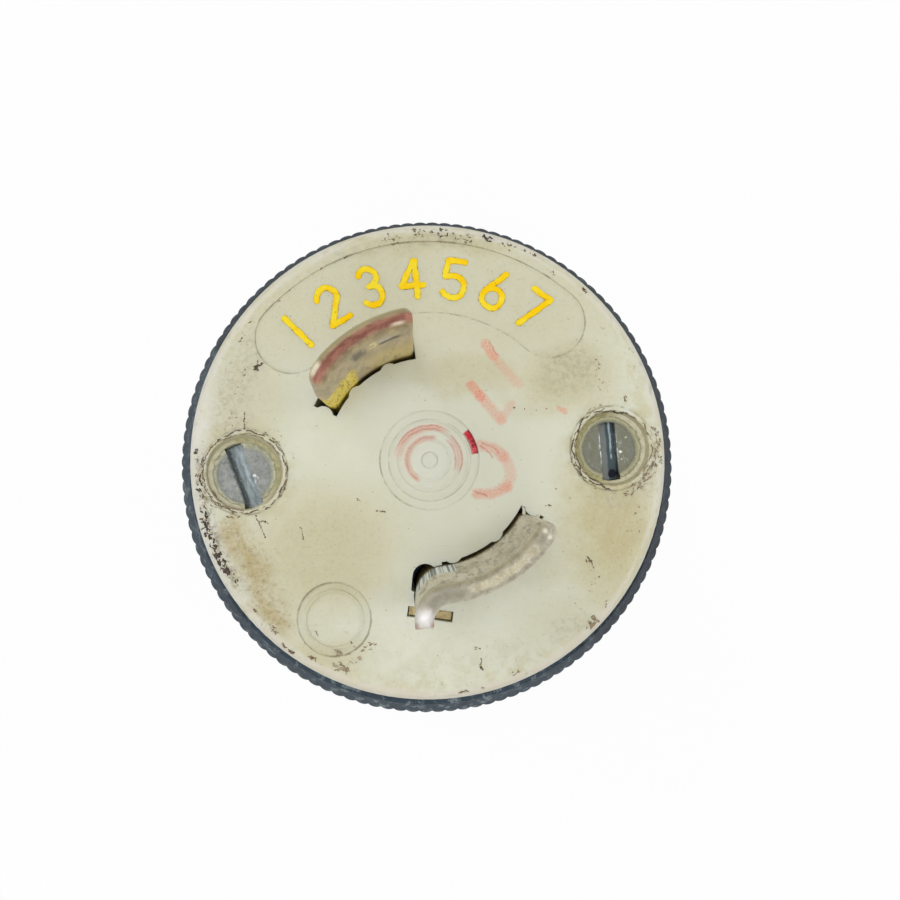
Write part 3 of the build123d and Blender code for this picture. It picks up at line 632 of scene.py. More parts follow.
def tarnished_brass():
    """Brass under a grey-brown tarnish, bright and speckled at one end, pink along the tip from copper and
    a painted reflection, with painted highlights and shade.
    """
    finish = Finish("tarnished_brass")
    radius, angle = finish.polar(FACE_CENTRE)
    cloud = finish.noise(0.45, 5, 0.6)
    patch = finish.noise(1.3, 6, 0.7, shift=(2, 5, 3), stretch=(1, 1, 0.2))
    drawn = finish.noise(1.7, 5, 0.65, shift=(6, 4, 1), stretch=(1, 1, 0.12))
    speck = finish.noise(4.0, 5, 0.75, shift=(4, 4, 9), stretch=(1, 1, 0.25))
    height = finish.z - FACE_TOP
    waver = (patch - 0.5) * 1.6

    finish.ground((0.52, 0.445, 0.325), (0.72, 0.62, 0.44), patch.step(0.36, 0.64))
    golden = (height + waver * 3.0).step(10.0, 3.0) * (angle + waver * 4.0).step(126.0, 112.0)
    finish.lay("golden foot", (0.80, 0.67, 0.34), golden * 0.85)
    finish.lay("drawn streaks", (0.33, 0.275, 0.20), drawn.step(0.54, 0.70) * 0.55)
    ragged = (speck - 0.5) * 5.0
    worn_end = (angle + waver * 3.0 + ragged).step(126.0, 129.5)
    worn_end = worn_end * (height + waver * 3.0 + ragged * 0.5).step(7.3, 6.2)
    worn_end = worn_end * (radius + waver * 0.2).step(9.2, 8.8)
    bright = finish.mix((0.97, 0.77, 0.10), (0.36, 0.25, 0.04), speck.step(0.52, 0.62))
    # Pale specks in the worn end: painted highlights on the bare brass
    bright = finish.mix(bright, (1.0, 0.94, 0.50), speck.step(0.44, 0.36) * 0.7)
    finish.lay("worn end", bright, worn_end)
    shade = (angle + waver * 2.0).band(118.0, 125.5, 2.0) * (height + waver).band(9.0, 11.6, 0.9)
    shade = shade * drawn.step(0.34, 0.54) * 0.7
    # Thin painted shadow line where the tip's bevel starts, partly a burr
    thin = (height + waver * 0.5 + (angle - 107.0) * 0.05).at(10.35, 0.7, 0.15)
    shade = shade.most(thin * angle.band(101.0, 111.5, 2.0) * 0.85)
    finish.lay("dark marks and painted shadow line", (0.15, 0.13, 0.12), shade)
    # Painted highlights on the inner face: a bright spot and a pale streak
    spot = (height + waver).at(10.9, 1.6, 0.5) * (angle + waver).band(112.5, 116.5, 1.0)
    spot = spot * speck.step(0.40, 0.52)
    streak = (height + waver * 0.8).at(11.2, 1.0, 0.25) * angle.band(105.5, 112.5, 1.5) * 0.55
    finish.lay("bright spot", (0.90, 0.81, 0.42), spot)
    finish.lay("pale streak", (0.72, 0.68, 0.60), streak)

    tip = (height + waver * 0.2).step(*TIP_RISE)
    lane = radius + waver * 0.16
    rubbed_and_sheen = finish.ring_noise(radius, angle, 0.5, 2.4, 5)
    tan = finish.mix((0.48, 0.38, 0.24), (0.70, 0.58, 0.36), rubbed_and_sheen.step(0.40, 0.60))
    pink = finish.mix((0.40, 0.150, 0.115), (0.62, 0.29, 0.21), rubbed_and_sheen.step(0.36, 0.64))
    olive = finish.mix((0.40, 0.34, 0.17), (0.60, 0.53, 0.31), cloud)
    finish.lay("tan tip", tan, tip * 0.8)
    # Pink lane along the tip: copper tint, partly a painted reflection
    finish.lay("pink lane, copper and painted reflection", pink, tip * lane.step(8.24, 8.56) * lane.step(9.24, 8.86) * 0.92)
    finish.lay("olive lane", olive, tip * lane.step(8.92, 9.22) * 0.9)
    # Painted highlights along the tip's inner edge and at its left corner
    gold_edge = tip * angle.band(98.5, 104.0, 2.0) * radius.at(8.46, 0.16, 0.03)
    corner = height.step(10.4, 11.6) * angle.band(137.5, 143.0, 1.4) * radius.at(9.10, 0.28, 0.08)
    shine = (gold_edge * 0.6).most(corner * patch.spread(0.5, 1.1))
    finish.lay("shining edges", (0.93, 0.86, 0.66), shine)
    finish.bump(drawn * 0.4 + patch * 0.6 + speck * worn_end * 0.9, 0.10)
    # The painted highlights and the worn end are made less metallic, so that they show bright
    sheen_wear_and_dust = (union((shine, spot, streak)) * 0.7).most(worn_end)
    return finish.done(Metallic=sheen_wear_and_dust.flipped(), Roughness=patch.spread(0.48, 0.64))


def dull_nickel():
    """Nickel plating gone dull and beige, with painted glints along the tip and painted highlights on tip
    and hook, striped at the hook's bend.
    """
    finish = Finish("dull_nickel")
    radius, angle = finish.polar(FACE_CENTRE)
    hook = around(FACE_CENTRE, BLADE_OUTER_RADIUS + HOOK_INSIDE_RADIUS, HOOK_TURN)
    hook_radius, hook_angle = finish.polar(hook)
    patch = finish.noise(0.9, 6, 0.7, shift=(5, 2, 7), stretch=(1, 1, 0.2))
    blotchy = finish.noise(2.0, 6, 0.75, shift=(1, 7, 3), stretch=(1, 1, 0.16))
    speck = finish.noise(4.0, 5, 0.75, shift=(8, 3, 2), stretch=(1, 1, 0.16))
    height = finish.z - FACE_TOP

    finish.ground((0.62, 0.585, 0.49), (0.84, 0.81, 0.72), patch.step(0.36, 0.62))
    finish.lay("dark blotches", (0.38, 0.345, 0.28), blotchy.step(0.50, 0.62) * 0.75)
    finish.lay("olive foot", (0.56, 0.50, 0.33), patch.step(0.50, 0.36) * height.step(11.0, 4.0) * 0.5)
    finish.lay("bright specks", (0.92, 0.89, 0.82), speck.step(0.58, 0.68) * 0.6)
    finish.lay("dark specks", (0.26, 0.23, 0.185), speck.step(0.41, 0.32) * 0.5)
    tip = (height + (patch - 0.5) * 0.8).step(*TIP_RISE)
    beige = finish.mix((0.50, 0.46, 0.335), (0.72, 0.68, 0.53), blotchy.step(0.40, 0.60))
    finish.lay("beige tip", beige, tip * 0.85)
    # Painted sheen along the crinkled middle of the tip
    middle = (radius + (patch - 0.5) * 0.5).at(8.74, 0.40, 0.18)
    crinkle_sheen = tip * middle * angle.band(-78.0, -45.0, 3.0)
    tip_streaks = finish.ring_noise(radius, angle, 0.9, 1.3).step(0.42, 0.60)
    cream = finish.mix((0.54, 0.475, 0.33), (0.78, 0.71, 0.50), tip_streaks)
    finish.lay("crinkled middle", cream, crinkle_sheen * blotchy.step(0.30, 0.50) * 0.9)
    # Painted glints along the tip and at its end
    painted_glints = crinkle_sheen * tip_streaks * blotchy.step(0.48, 0.60) * 0.6
    for spot in TIP_GLINT_SPOTS:
        from_spot, _ = finish.polar(around(FACE_CENTRE, *spot))
        near_spot = (from_spot + (speck - 0.5) * 0.24).step(0.28, 0.04)
        painted_glints = painted_glints.most(near_spot * height.step(10.6, 11.6) * 0.85)
    finish.lay("painted_glints", (0.90, 0.86, 0.72), painted_glints)

    outside = hook_radius.step(HOOK_INSIDE_RADIUS + 0.7, HOOK_INSIDE_RADIUS + 1.0)
    on_bend = outside * angle.step(-79.5, -82.0)
    stripes = finish.ring_noise(hook_radius, hook_angle, 0.8, 0.3)
    low = on_bend * (height + (patch - 0.5) * 3.0).step(6.6, 4.6)
    finish.lay("blue stripes", (0.22, 0.285, 0.33), low * stripes.step(0.54, 0.44) * 0.9)
    striped = low * stripes.step(0.47, 0.55)
    finish.lay("bright stripes", (0.90, 0.96, 0.98), striped)
    leg_x = hook[0] - HOOK_INSIDE_RADIUS - (BLADE_OUTER_RADIUS - BLADE_INNER_RADIUS) / 2
    from_gloss, _ = finish.polar((leg_x, hook[1] + 0.45))
    bent_top = hook_radius.step(HOOK_INSIDE_RADIUS + 1.8, HOOK_INSIDE_RADIUS + 1.2)
    bent_top = bent_top * height.step(11.0, 12.6)
    finish.lay("beige bend", (0.58, 0.55, 0.44), bent_top * angle.step(-82.0, -84.0) * 0.6)
    # Painted highlight on the top of the hook's bend, brightest near its leg
    near_gloss = from_gloss + (blotchy - 0.5) * 0.9
    gloss = bent_top * near_gloss.step(0.95, 0.25)
    finish.lay("gloss", (0.71, 0.68, 0.66), gloss * 0.9)
    finish.lay("bright gloss", (0.92, 0.905, 0.90), bent_top * near_gloss.step(0.36, 0.06) * 0.85)
    # Reddish painted shade on the edges of the hook's leg towards its end
    leg_end = finish.y.step(hook[1] + 0.25, hook[1] - 0.02) * height.step(3.0, 7.0)
    edges = leg_end * abs(hook_radius - HOOK_INSIDE_RADIUS - 0.6).step(0.25, 0.55)
    finish.lay("reddish shaded edges", (0.50, 0.31, 0.26), edges * 0.75)
    root = height.step(0.3, -0.4)
    finish.lay("oily root", (0.62, 0.51, 0.27), root)
    finish.lay("dirt on the root", (0.24, 0.175, 0.08), root * speck.step(0.48, 0.60) * 0.7)
    finish.bump(blotchy * 0.5 + patch * 0.4 + painted_glints * 0.4, 0.09)
    sheen_wear_and_dust = (union((painted_glints, crinkle_sheen * 0.6, striped, root)) * 0.75).most(gloss)
    return finish.done(Metallic=sheen_wear_and_dust.flipped(), Roughness=patch.spread(0.48, 0.64))


def scratched_zinc():
    """Zinc-plated steel, grey and scratched on the head, bluish and streaked in the slot, with painted
    glints, a painted lit streak and painted shade.
    """
    finish = Finish("scratched_zinc")
    patch = finish.noise(1.3, 6, 0.75, shift=(9, 1, 3))
    glint = finish.noise(2.4, 5, 0.75, shift=(3, 3, 3))
    scratch = finish.noise(2.6, 6, 0.8, shift=(2, 6, 4), stretch=(1, 0.5, 1), distortion=0.8)
    finish.ground((0.44, 0.46, 0.44), (0.66, 0.685, 0.66), patch.step(0.38, 0.62))
    finish.lay("yellowish plating", (0.50, 0.52, 0.42), glint.step(0.50, 0.64) * 0.6)
    finish.lay("dark pits", (0.20, 0.20, 0.185), glint.step(0.42, 0.34) * 0.6)
    oily = finish.x.step(0.0, 1.0) * patch.step(0.34, 0.60).spread(0.45, 0.95)
    finish.lay("oil on the right head", (0.36, 0.36, 0.255), oily)
    finish.lay("bright scratches", (0.74, 0.76, 0.71), scratch.step(0.56, 0.64) * 0.55)
    finish.lay("dark scratches", (0.22, 0.23, 0.19), scratch.step(0.42, 0.34) * 0.5)
    deep = finish.z.step(HEAD_TOP - 0.10, HEAD_TOP - 0.35)
    half_slot = SCREW_SLOT_WIDTH / 2
    shines = []
    for side, ((x, y), angle) in enumerate(zip(SCREW_CENTRES, SCREW_SLOT_ANGLES)):
        cosine, sine = math.cos(math.radians(angle)), math.sin(math.radians(angle))
        from_x, from_y = finish.x - x, finish.y - y
        leftward = from_y * cosine - from_x * sine
        along = from_x * cosine + from_y * sine
        near = hypotenuse(leftward, along).step(SCREW_HEAD_RADIUS + 0.1, SCREW_HEAD_RADIUS)
        wavy = leftward + (patch - 0.5) * 0.30
        streak = finish.ring_noise(wavy * 3.0, along * 6.0, 0.4, 1.0)
        # A painted lit streak runs along each slot's floor
        if side:
            floor_tone = finish.mix((0.27, 0.29, 0.275), (0.095, 0.135, 0.15), wavy.step(0.05, -0.10))
            lit = wavy.at(-0.36, 0.11, 0.03) * along.step(-1.0, -0.6)
        else:
            floor_tone = finish.mix((0.25, 0.30, 0.32), (0.46, 0.53, 0.545), streak.step(0.36, 0.62))
            lit = wavy.at(-0.20, 0.18, 0.03) * streak.step(0.46, 0.60) * 0.8
        floor_tone = finish.mix(floor_tone, (0.55, 0.65, 0.69), lit * streak.step(0.34, 0.50))
        finish.lay("slot", floor_tone, near * deep)
        # Painted shade along one edge of the slot
        ragged = wavy.at(half_slot - 0.05, 0.22, 0.08) * glint.step(0.38, 0.52)
        finish.lay("shaded slot edge", (0.075, 0.08, 0.075), near * ragged * (0.35 if side else 0.65))
        # Painted highlights along the slot's edges
        rubbed_and_sheen = leftward.at(-half_slot - 0.04, 0.07, 0.02) * glint.step(0.52, 0.44) * 0.6
        if side:
            rubbed_and_sheen = rubbed_and_sheen.most(leftward.at(half_slot + 0.04, 0.08, 0.02) * glint.step(0.41, 0.53) * 0.75)
        shines.append(near * rubbed_and_sheen * abs(along).step(1.5, 1.0))
    for x, y, reach, strength in SCREW_GLINTS:
        from_spot, _ = finish.polar((x, y))
        shines.append((from_spot + (glint - 0.5) * 0.4).step(reach, reach * 0.3) * strength)
    shine = union(shines)
    # Painted glints and highlights
    finish.lay("shining spots", (0.90, 0.92, 0.90), shine)
    # A dark spot at the lower end of the right screw's slot
    from_dark_spot, _ = finish.polar(SLOT_DARK_SPOT)
    dirt = (from_dark_spot + (glint - 0.5) * 0.2).step(0.42, 0.28) * deep
    finish.lay("dark spot in the slot", (0.018, 0.018, 0.03), dirt)
    finish.bump(patch * 0.6 + glint * 0.4, 0.08)
    sheen_wear_and_dust = shine.most(deep * 0.6) * 0.85
    return finish.done(Metallic=sheen_wear_and_dust.flipped(), Roughness=patch.spread(0.38, 0.56))


def old_grease():
    """Film of grease and dust in the screws' recesses, paler on the head's shoulder than on the wall, with
    painted shade on the wall's inner side.
    """
    finish = Finish("old_grease")
    patch = finish.noise(1.6, 6, 0.72, shift=(4, 9, 2))
    fine = finish.noise(4.5, 5, 0.75, shift=(6, 2, 8))
    wavy = finish.attribute("across") + (patch - 0.5) * 0.50
    right = finish.x.step(-0.1, 0.1)
    finish.ground((0.29, 0.30, 0.275), (0.23, 0.235, 0.205), fine.step(0.42, 0.60))
    finish.lay("inner right", (0.19, 0.182, 0.135), right)
    shoulder = finish.mix((0.48, 0.465, 0.32), (0.30, 0.305, 0.21), patch.step(0.42, 0.58))
    shoulder = finish.mix(shoulder, (0.36, 0.35, 0.20), right * 0.65)
    finish.lay("shoulder", shoulder, wavy.step(0.06, 0.34))
    pale_wall = finish.mix((0.44, 0.41, 0.27), (0.56, 0.53, 0.39), patch.step(0.36, 0.62))
    oily_shaded_wall = finish.mix((0.23, 0.205, 0.085), (0.41, 0.37, 0.18), patch.step(0.36, 0.62))
    left_turn, right_turn = (finish.polar(centre)[1] for centre in RECESS_CENTRES)
    # The wall is darker olive on the side towards the face's centre: grease colour, partly painted shade
    oily = left_turn.arc(-45, 110, 20) * right.flipped() * 0.8
    oily = oily.most(right_turn.arc(85, 260, 20) * right)
    finish.lay("wall", finish.mix(pale_wall, oily_shaded_wall, oily), wavy.step(0.48, 0.62))
    seam = wavy.at(0.48, 0.10, 0.02) * fine.step(0.36, 0.54)
    finish.lay("seam", (0.20, 0.19, 0.12), seam * 0.8)
    finish.lay("dark dust", (0.16, 0.14, 0.08), fine.step(0.60, 0.70) * 0.6)
    finish.lay("pale dust", (0.60, 0.62, 0.52), fine.step(0.38, 0.30) * 0.6)
    finish.bump(patch * 0.6 + fine * 0.4, 0.06)
    return finish.done(Roughness=patch.spread(0.45, 0.65), Specular_IOR_Level=0.25)


def yellow_paint():
    """Yellow paint in the numbers, ochre at its edges, with specks of dirt."""
    finish = Finish("yellow_paint")
    cloud = finish.noise(0.9, 4, 0.6)
    fleck = finish.noise(2.4, 6, 0.75, shift=(3, 5, 2))
    edge = abs(finish.parts(Field(finish.node("UVMap").outputs[0]))[1] - 0.5) * 2.0
    finish.ground((0.85, 0.535, 0.0), (0.83, 0.65, 0.03), cloud.step(0.38, 0.62))
    finish.lay("ochre edge", (0.55, 0.33, 0.01), edge.step(0.55, 0.95) * fleck.step(0.40, 0.56) * 0.9)
    finish.lay("dirty edge", (0.10, 0.065, 0.02), edge.step(0.40, 0.90) * fleck.step(0.51, 0.59) * 0.9)
    finish.lay("specks", (0.16, 0.11, 0.03), fleck.step(0.61, 0.68) * 0.8)
    finish.bump(fleck * 0.5 + cloud * 0.5, 0.05)
    return finish.done(Roughness=cloud.spread(0.50, 0.65), Specular_IOR_Level=0.15)


def caked_grime():
    """Dirt caked on the face: from pale chips through brown to nearly black, by each flake's tone."""
    finish = Finish("caked_grime")
    tone = finish.attribute("tone")
    crumb = finish.noise(5.0, 5, 0.75, shift=(7, 7, 1))
    finish.ground((0.60, 0.56, 0.45), (0.30, 0.235, 0.14), tone.step(0.05, 0.30))
    finish.lay("dark brown", (0.13, 0.095, 0.062), tone.step(0.30, 0.60))
    finish.lay("black", (0.050, 0.040, 0.034), tone.step(0.60, 0.95))
    finish.lay("crumbs", (0.34, 0.28, 0.19), crumb.step(0.54, 0.68) * 0.6)
    finish.bump(crumb, 0.04)
    return finish.done(Roughness=crumb.spread(0.7, 0.9), Specular_IOR_Level=0.25)


# Meshes

def placed(name, data):
    """New object in the scene."""
    made = bpy.data.objects.new(name, data)
    bpy.context.scene.collection.objects.link(made)
    return made


def grid_faces(rows, columns, first):
    """Quads between neighbouring rows of a grid whose columns close into a ring."""
    row, column = np.meshgrid(np.arange(rows - 1), np.arange(columns), indexing="ij")
    following = (column + 1) % columns
    corners = (row * columns + column, row * columns + following,
               (row + 1) * columns + following, (row + 1) * columns + column)
    return first + np.stack([corner.ravel() for corner in corners], 1)


def mesh_object(name, points, faces, material):
    """Object at the origin from an array of points in millimetres and a list of faces."""
    mesh = bpy.data.meshes.new(name)
    mesh.from_pydata(np.asarray(points) * MM, [], [tuple(face) for face in faces])
    mesh.validate()
    mesh.polygons.foreach_set("use_smooth", np.ones(len(mesh.polygons), bool))
    mesh.materials.append(material)
    made = placed(name, mesh)
    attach(made, "root")
    return made


def keep_values(made, name, values):
    """Stores a value at each point of an object's mesh for its finish."""
    made.data.attributes.new(name, "FLOAT", "POINT").data.foreach_set("value", values)


# Painted numbers

NUMBER_HEIGHT = 2.9
NUMBER_BASE_RADIUS = 12.75
NUMBER_HALF_STROKE = 0.25
NUMBER_RISE = 0.07
NUMBER_SINK = 0.03
NUMBER_ANGLES = (132.0, 118.7, 105.3, 92.0, 78.7, 65.3, 52.0)
STROKE_STEP = 0.04
CAP_POINTS = 7
PROFILE_POINTS = 9
PROFILE_POWER = 0.6
# Waves of a stroke's left and right edge: size, rate along the path and phase for each number
EDGE_WAVES = (((0.10, 0.17, 2.1), (0.06, 0.53, 1.0)), ((0.10, 0.19, 3.7), (0.06, 0.61, 1.9)))


def bow(centre, radius, start, end):
    """Points on an arc, in glyph units, from one angle to another in degrees."""
    count = max(8, int(abs(end - start) / 6))
    return np.stack(around(centre, radius, np.linspace(start, end, count)), 1)


def line(*points):
    """Corners of a straight-sided stroke, in glyph units."""
    return np.array(points, float)


def glyph_strokes():
    """Strokes of the numbers 1 to 7 on a box one unit high, each an array of points."""
    return (
        (line((0.0, 1.0), (0.0, 0.0)),),
        (np.concatenate([bow((0.0, 0.73), 0.27, 165, -35), line((-0.27, 0.0), (0.28, 0.0))]),),
        (
            np.concatenate([bow((0.0, 0.76), 0.24, 150, -80), line((-0.02, 0.52))]),
            bow((0.0, 0.26), 0.26, 85, -150),
        ),
        (line((0.12, 0.0), (0.12, 1.0), (-0.30, 0.30), (0.30, 0.30)),),
        (np.concatenate([line((0.24, 1.0), (-0.2, 1.0), (-0.24, 0.56)), bow((0.0, 0.3), 0.3, 125, -145)]),),
        (np.concatenate([line((0.14, 1.0)), bow((0.0, 0.27), 0.27, 155, 515)]),),
        (line((-0.27, 1.0), (0.27, 1.0), (-0.10, 0.0)),),
    )


def resampled(points, step):
    """The same path with points at equal steps along it."""
    gaps = np.hypot(*np.diff(points, axis=0).T)
    reach = np.concatenate([[0], np.cumsum(gaps)])
    even = np.linspace(0, reach[-1], max(2, int(round(reach[-1] / step)) + 1))
    return np.stack([np.interp(even, reach, points[:, i]) for i in range(2)], 1)


def paint_stroke(points, seed):
    """Raised bead of paint on a path.

    Along the path the half width is constant, and past each end it falls as a quarter circle. Across it
    the height is a flattened half ellipse. Slow waves, different on each side, make the edges uneven.
    """
    path = resampled(points, STROKE_STEP)
    tangent = np.gradient(path, axis=0)
    tangent /= np.linalg.norm(tangent, axis=1, keepdims=True)
    cap = NUMBER_HALF_STROKE * np.sin(np.radians(np.linspace(86, 8, CAP_POINTS)))
    head = path[0] - tangent[0] * cap[:, None]
    tail = path[-1] + tangent[-1] * cap[::-1, None]
    centre = np.concatenate([head, path, tail])
    heading = np.pad(tangent, ((CAP_POINTS, CAP_POINTS), (0, 0)), mode="edge")
    half = np.full(len(centre), NUMBER_HALF_STROKE)
    fall = np.sqrt(np.maximum(NUMBER_HALF_STROKE**2 - cap**2, 0))
    half[:CAP_POINTS] = fall
    half[-CAP_POINTS:] = fall[::-1]
    count = np.arange(len(centre))
    left, right = (
        1 + sum(size * np.sin(count * rate + seed * phase) for size, rate, phase in waves)
        for waves in EDGE_WAVES
    )
    side = np.stack([-heading[:, 1], heading[:, 0]], 1)
    turn = np.linspace(0, math.pi, PROFILE_POINTS)
    uneven = np.where(np.cos(turn)[None, :] > 0, left[:, None], right[:, None])
    across = (np.cos(turn)[None, :] * half[:, None] * uneven)[..., None] * side[:, None, :]
    share = np.minimum(half / NUMBER_HALF_STROKE, 1)
    height = NUMBER_RISE * np.sin(turn)[None, :] ** PROFILE_POWER * share[:, None]
    return centre[:, None, :] + across, height


def bent_to_arc(flat, angle):
    """Turns glyph millimetres upright on the panel: up is outwards along the radius at this angle."""
    turn = math.radians(angle)
    outward = NUMBER_BASE_RADIUS + flat[..., 1]
    x = FACE_X + outward * math.cos(turn) + flat[..., 0] * math.sin(turn)
    y = FACE_Y + outward * math.sin(turn) - flat[..., 0] * math.cos(turn)
    return x, y


def painted_numbers(material):
    """All the numbers as one piece, closed below the panel's floor."""
    floor_height = FACE_TOP - PANEL_DEPTH
    points, faces, sides = [], [], []
    first = 0
    for number, (strokes, angle) in enumerate(zip(glyph_strokes(), NUMBER_ANGLES)):
        for stroke in strokes:
            flat, height = paint_stroke(stroke * NUMBER_HEIGHT, number)
            x, y = bent_to_arc(flat, angle)
            top = np.stack([x, y, floor_height + height], 2)
            under = top[:, ::-1][:, 1:-1].copy()
            under[..., 2] = floor_height - NUMBER_SINK
            ring = np.concatenate([top, under], 1)
            rows, columns = ring.shape[:2]
            points.append(ring.reshape(-1, 3))
            faces.extend(grid_faces(rows, columns, first))
            faces.append(np.arange(columns)[::-1] + first)
            faces.append(np.arange(columns) + first + (rows - 1) * columns)
            across = np.concatenate([np.linspace(0, 1, PROFILE_POINTS), np.zeros(columns - PROFILE_POINTS)])
            sides.append(np.tile(across, rows))
            first += rows * columns
    made = mesh_object("panel_numbers", np.concatenate(points), faces, material)
    layer = made.data.uv_layers.new(name="stroke")
    corner_points = np.zeros(len(made.data.loops), int)
    made.data.loops.foreach_get("vertex_index", corner_points)
    across = np.concatenate(sides)[corner_points]
    layer.data.foreach_set("uv", np.stack([np.zeros_like(across), across], 1).ravel())


# Caked grime

# Patches on the face: angle, radius, half span in degrees, half height, number of flakes, length and tone
RIM_GRIME = (
    (14, 16, 1, 0.1, 3, 0.3, 0.45), (20.5, 17.5, 0.5, 0.1, 2, 0.15, 0.45),
    (22, 14.8, 3.5, 0.5, 12, 0.15, 0.3), (25, 17.9, 0.8, 0.1, 3, 0.15, 0.45),
    (27, 15.3, 1.5, 0.4, 5, 0.2, 0.35), (44, 17.95, 1.5, 0.15, 7, 0.25, 0.7),
    (53, 17.5, 0.6, 0.1, 3, 0.2, 0.45), (60.5, 18, 1.4, 0.12, 6, 0.3, 0.75),
    (66, 17.7, 2, 0.25, 8, 0.22, 0.55), (72, 17.9, 1.2, 0.18, 10, 0.38, 0.85),
    (78, 17.5, 2.5, 0.35, 14, 0.22, 0.5), (83, 17.7, 1.2, 0.35, 12, 0.28, 0.75),
    (88, 17.7, 2.5, 0.35, 12, 0.22, 0.5), (97, 17.6, 3.5, 0.3, 12, 0.2, 0.45),
    (89, 17.6, 1, 0.2, 3, 0.2, 0.45), (95, 17.05, 1.2, 0.06, 4, 0.2, 0.5),
    (108.5, 17, 0.8, 0.08, 4, 0.2, 0.5), (115.6, 17.05, 0.4, 0.05, 2, 0.2, 0.45),
    (126, 17.05, 0.4, 0.05, 2, 0.15, 0.45), (130, 17, 0.5, 0.1, 2, 0.2, 0.45),
    (139, 17.4, 0.5, 0.1, 2, 0.2, 0.45), (143, 17.2, 1.3, 0.1, 6, 0.25, 0.5),
    (148, 15.05, 1.8, 0.2, 14, 0.3, 0.75), (155, 15.7, 5, 0.15, 8, 0.2, 0.3),
    (165, 15.3, 3, 0.4, 6, 0.2, 0.3), (174, 17.85, 0.8, 0.15, 6, 0.3, 0.9),
    (176.5, 17.5, 1.5, 0.3, 10, 0.3, 0.8), (183, 17.7, 3, 0.3, 16, 0.3, 0.75),
    (190, 17.75, 2, 0.3, 14, 0.35, 0.9), (194, 17.8, 2.2, 0.3, 18, 0.4, 0.95),
    (199, 17.7, 2.5, 0.3, 20, 0.4, 0.9), (204, 17.7, 2, 0.25, 18, 0.45, 0.9),
    (208, 17.5, 1.5, 0.3, 6, 0.25, 0.7), (215, 16.5, 8, 0.8, 10, 0.12, 0.35),
    (217, 17.6, 0.4, 0.08, 3, 0.25, 0.45), (224, 17.5, 0.8, 0.15, 5, 0.3, 0.5),
    (229.5, 18, 1.6, 0.05, 6, 0.4, 0.55), (235.7, 17.5, 1.2, 0.08, 6, 0.45, 0.5),
    (241, 16.3, 1.2, 0.2, 5, 0.3, 0.3), (243.5, 17.2, 2.5, 0.3, 10, 0.5, 0.35),
    (246, 15.8, 3, 0.8, 16, 0.3, 0.25), (248.5, 14.9, 1.5, 0.4, 8, 0.3, 0.3),
    (274.5, 17.95, 1.2, 0.12, 6, 0.3, 0.45), (279.6, 18, 0.5, 0.1, 3, 0.2, 0.45),
    (280, 16.25, 0.2, 0.15, 2, 0.25, 0.45), (280, 14.85, 0.3, 0.1, 2, 0.2, 0.45),
    (288, 17.6, 1, 0.15, 5, 0.25, 0.4), (291, 18, 0.6, 0.1, 2, 0.2, 0.45),
    (311, 17.75, 1.7, 0.3, 16, 0.35, 0.35), (316, 15.7, 5, 0.1, 8, 0.12, 0.3),
    (317, 17.6, 0.8, 0.2, 3, 0.2, 0.45), (324, 14.5, 0.6, 0.2, 3, 0.3, 0.45),
    (340, 16.7, 4, 0.5, 10, 0.18, 0.3), (356, 18.1, 0.6, 0.1, 4, 0.2, 0.45),
    (178, 17.7, 4, 0.3, 10, 0.3, 0.05), (195, 17.7, 8, 0.32, 30, 0.34, 0.05),
    (204, 17.3, 5, 0.2, 8, 0.2, 0.05),
)
# Round the screws' recesses: side, start and end angle, radius, half height, number of flakes, length, tone
RECESS_GRIME = (
    (0, 150, 260, 3.35, 0.30, 30, 0.25, 0.55), (0, 20, 60, 3.35, 0.15, 12, 0.22, 0.50),
    (0, -40, 20, 3.25, 0.10, 14, 0.20, 0.50), (1, -80, 5, 3.52, 0.40, 84, 0.28, 0.38),
    (1, 0, 32, 3.70, 0.22, 18, 0.28, 0.38), (1, 180, 250, 3.30, 0.10, 18, 0.25, 0.50),
    (1, 100, 150, 3.35, 0.15, 10, 0.20, 0.50),
)
# Dirt along the recesses' edges: side, start and end angle, radius and tone
RECESS_LINES = (
    (0, 40, 128, 3.14, 0.70), (0, -62, 40, 3.20, 0.52), (0, -128, -62, 3.10, 0.50),
    (0, 128, 232, 3.14, 0.50), (0, 20, 130, 2.90, 0.35), (0, -150, -90, 2.90, 0.40),
    (1, 98, 135, 3.12, 0.70), (1, 135, 262, 3.10, 0.72), (1, 50, 120, 2.88, 0.80),
    (1, 150, 250, 2.88, 0.75), (1, -40, 40, 3.05, 0.35),
)
RECESS_WOBBLE = 0.05
# Thin lines and lone specks of dirt: points along each in the XY plane
DIRT_LINES = (
    ((-13.59, -3.13), (-13.32, -3.68), (-13.12, -4.31), (-12.93, -4.85)),
    ((-13.31, -3.61), (-13.00, -3.55), (-12.64, -3.80)),
    ((-13.93, 4.87), (-14.00, 3.65)),
    ((-10.22, -4.19), (-10.10, -4.59), (-10.05, -5.12)),
    ((-4.28, -3.37), (-3.68, -3.52)),
    ((11.73, -7.99), (11.93, -8.39), (12.06, -8.79)),
    ((8.67, -3.84), (9.14, -3.84)),
    ((2.70, -14.26), (2.92, -14.43)),
    ((2.94, -15.20), (2.96, -16.04)),
    ((-5.75, -2.35), (-5.53, -2.52)),
    ((-9.56, -12.17), (-9.35, -12.49)),
)
DIRT_SPECKS = (
    (12.47, -9.58), (12.13, -10.02), (11.69, -10.61), (-13.93, -10.41), (8.57, -1.98), (9.61, -2.59),
    (10.65, -3.36), (6.8, 3.9), (7.6, 3.75), (8.5, 3.6), (9.3, 3.65),
)
LINE_STEP = 0.10
LINE_STRAY = 0.03
LINE_TONE = 0.55
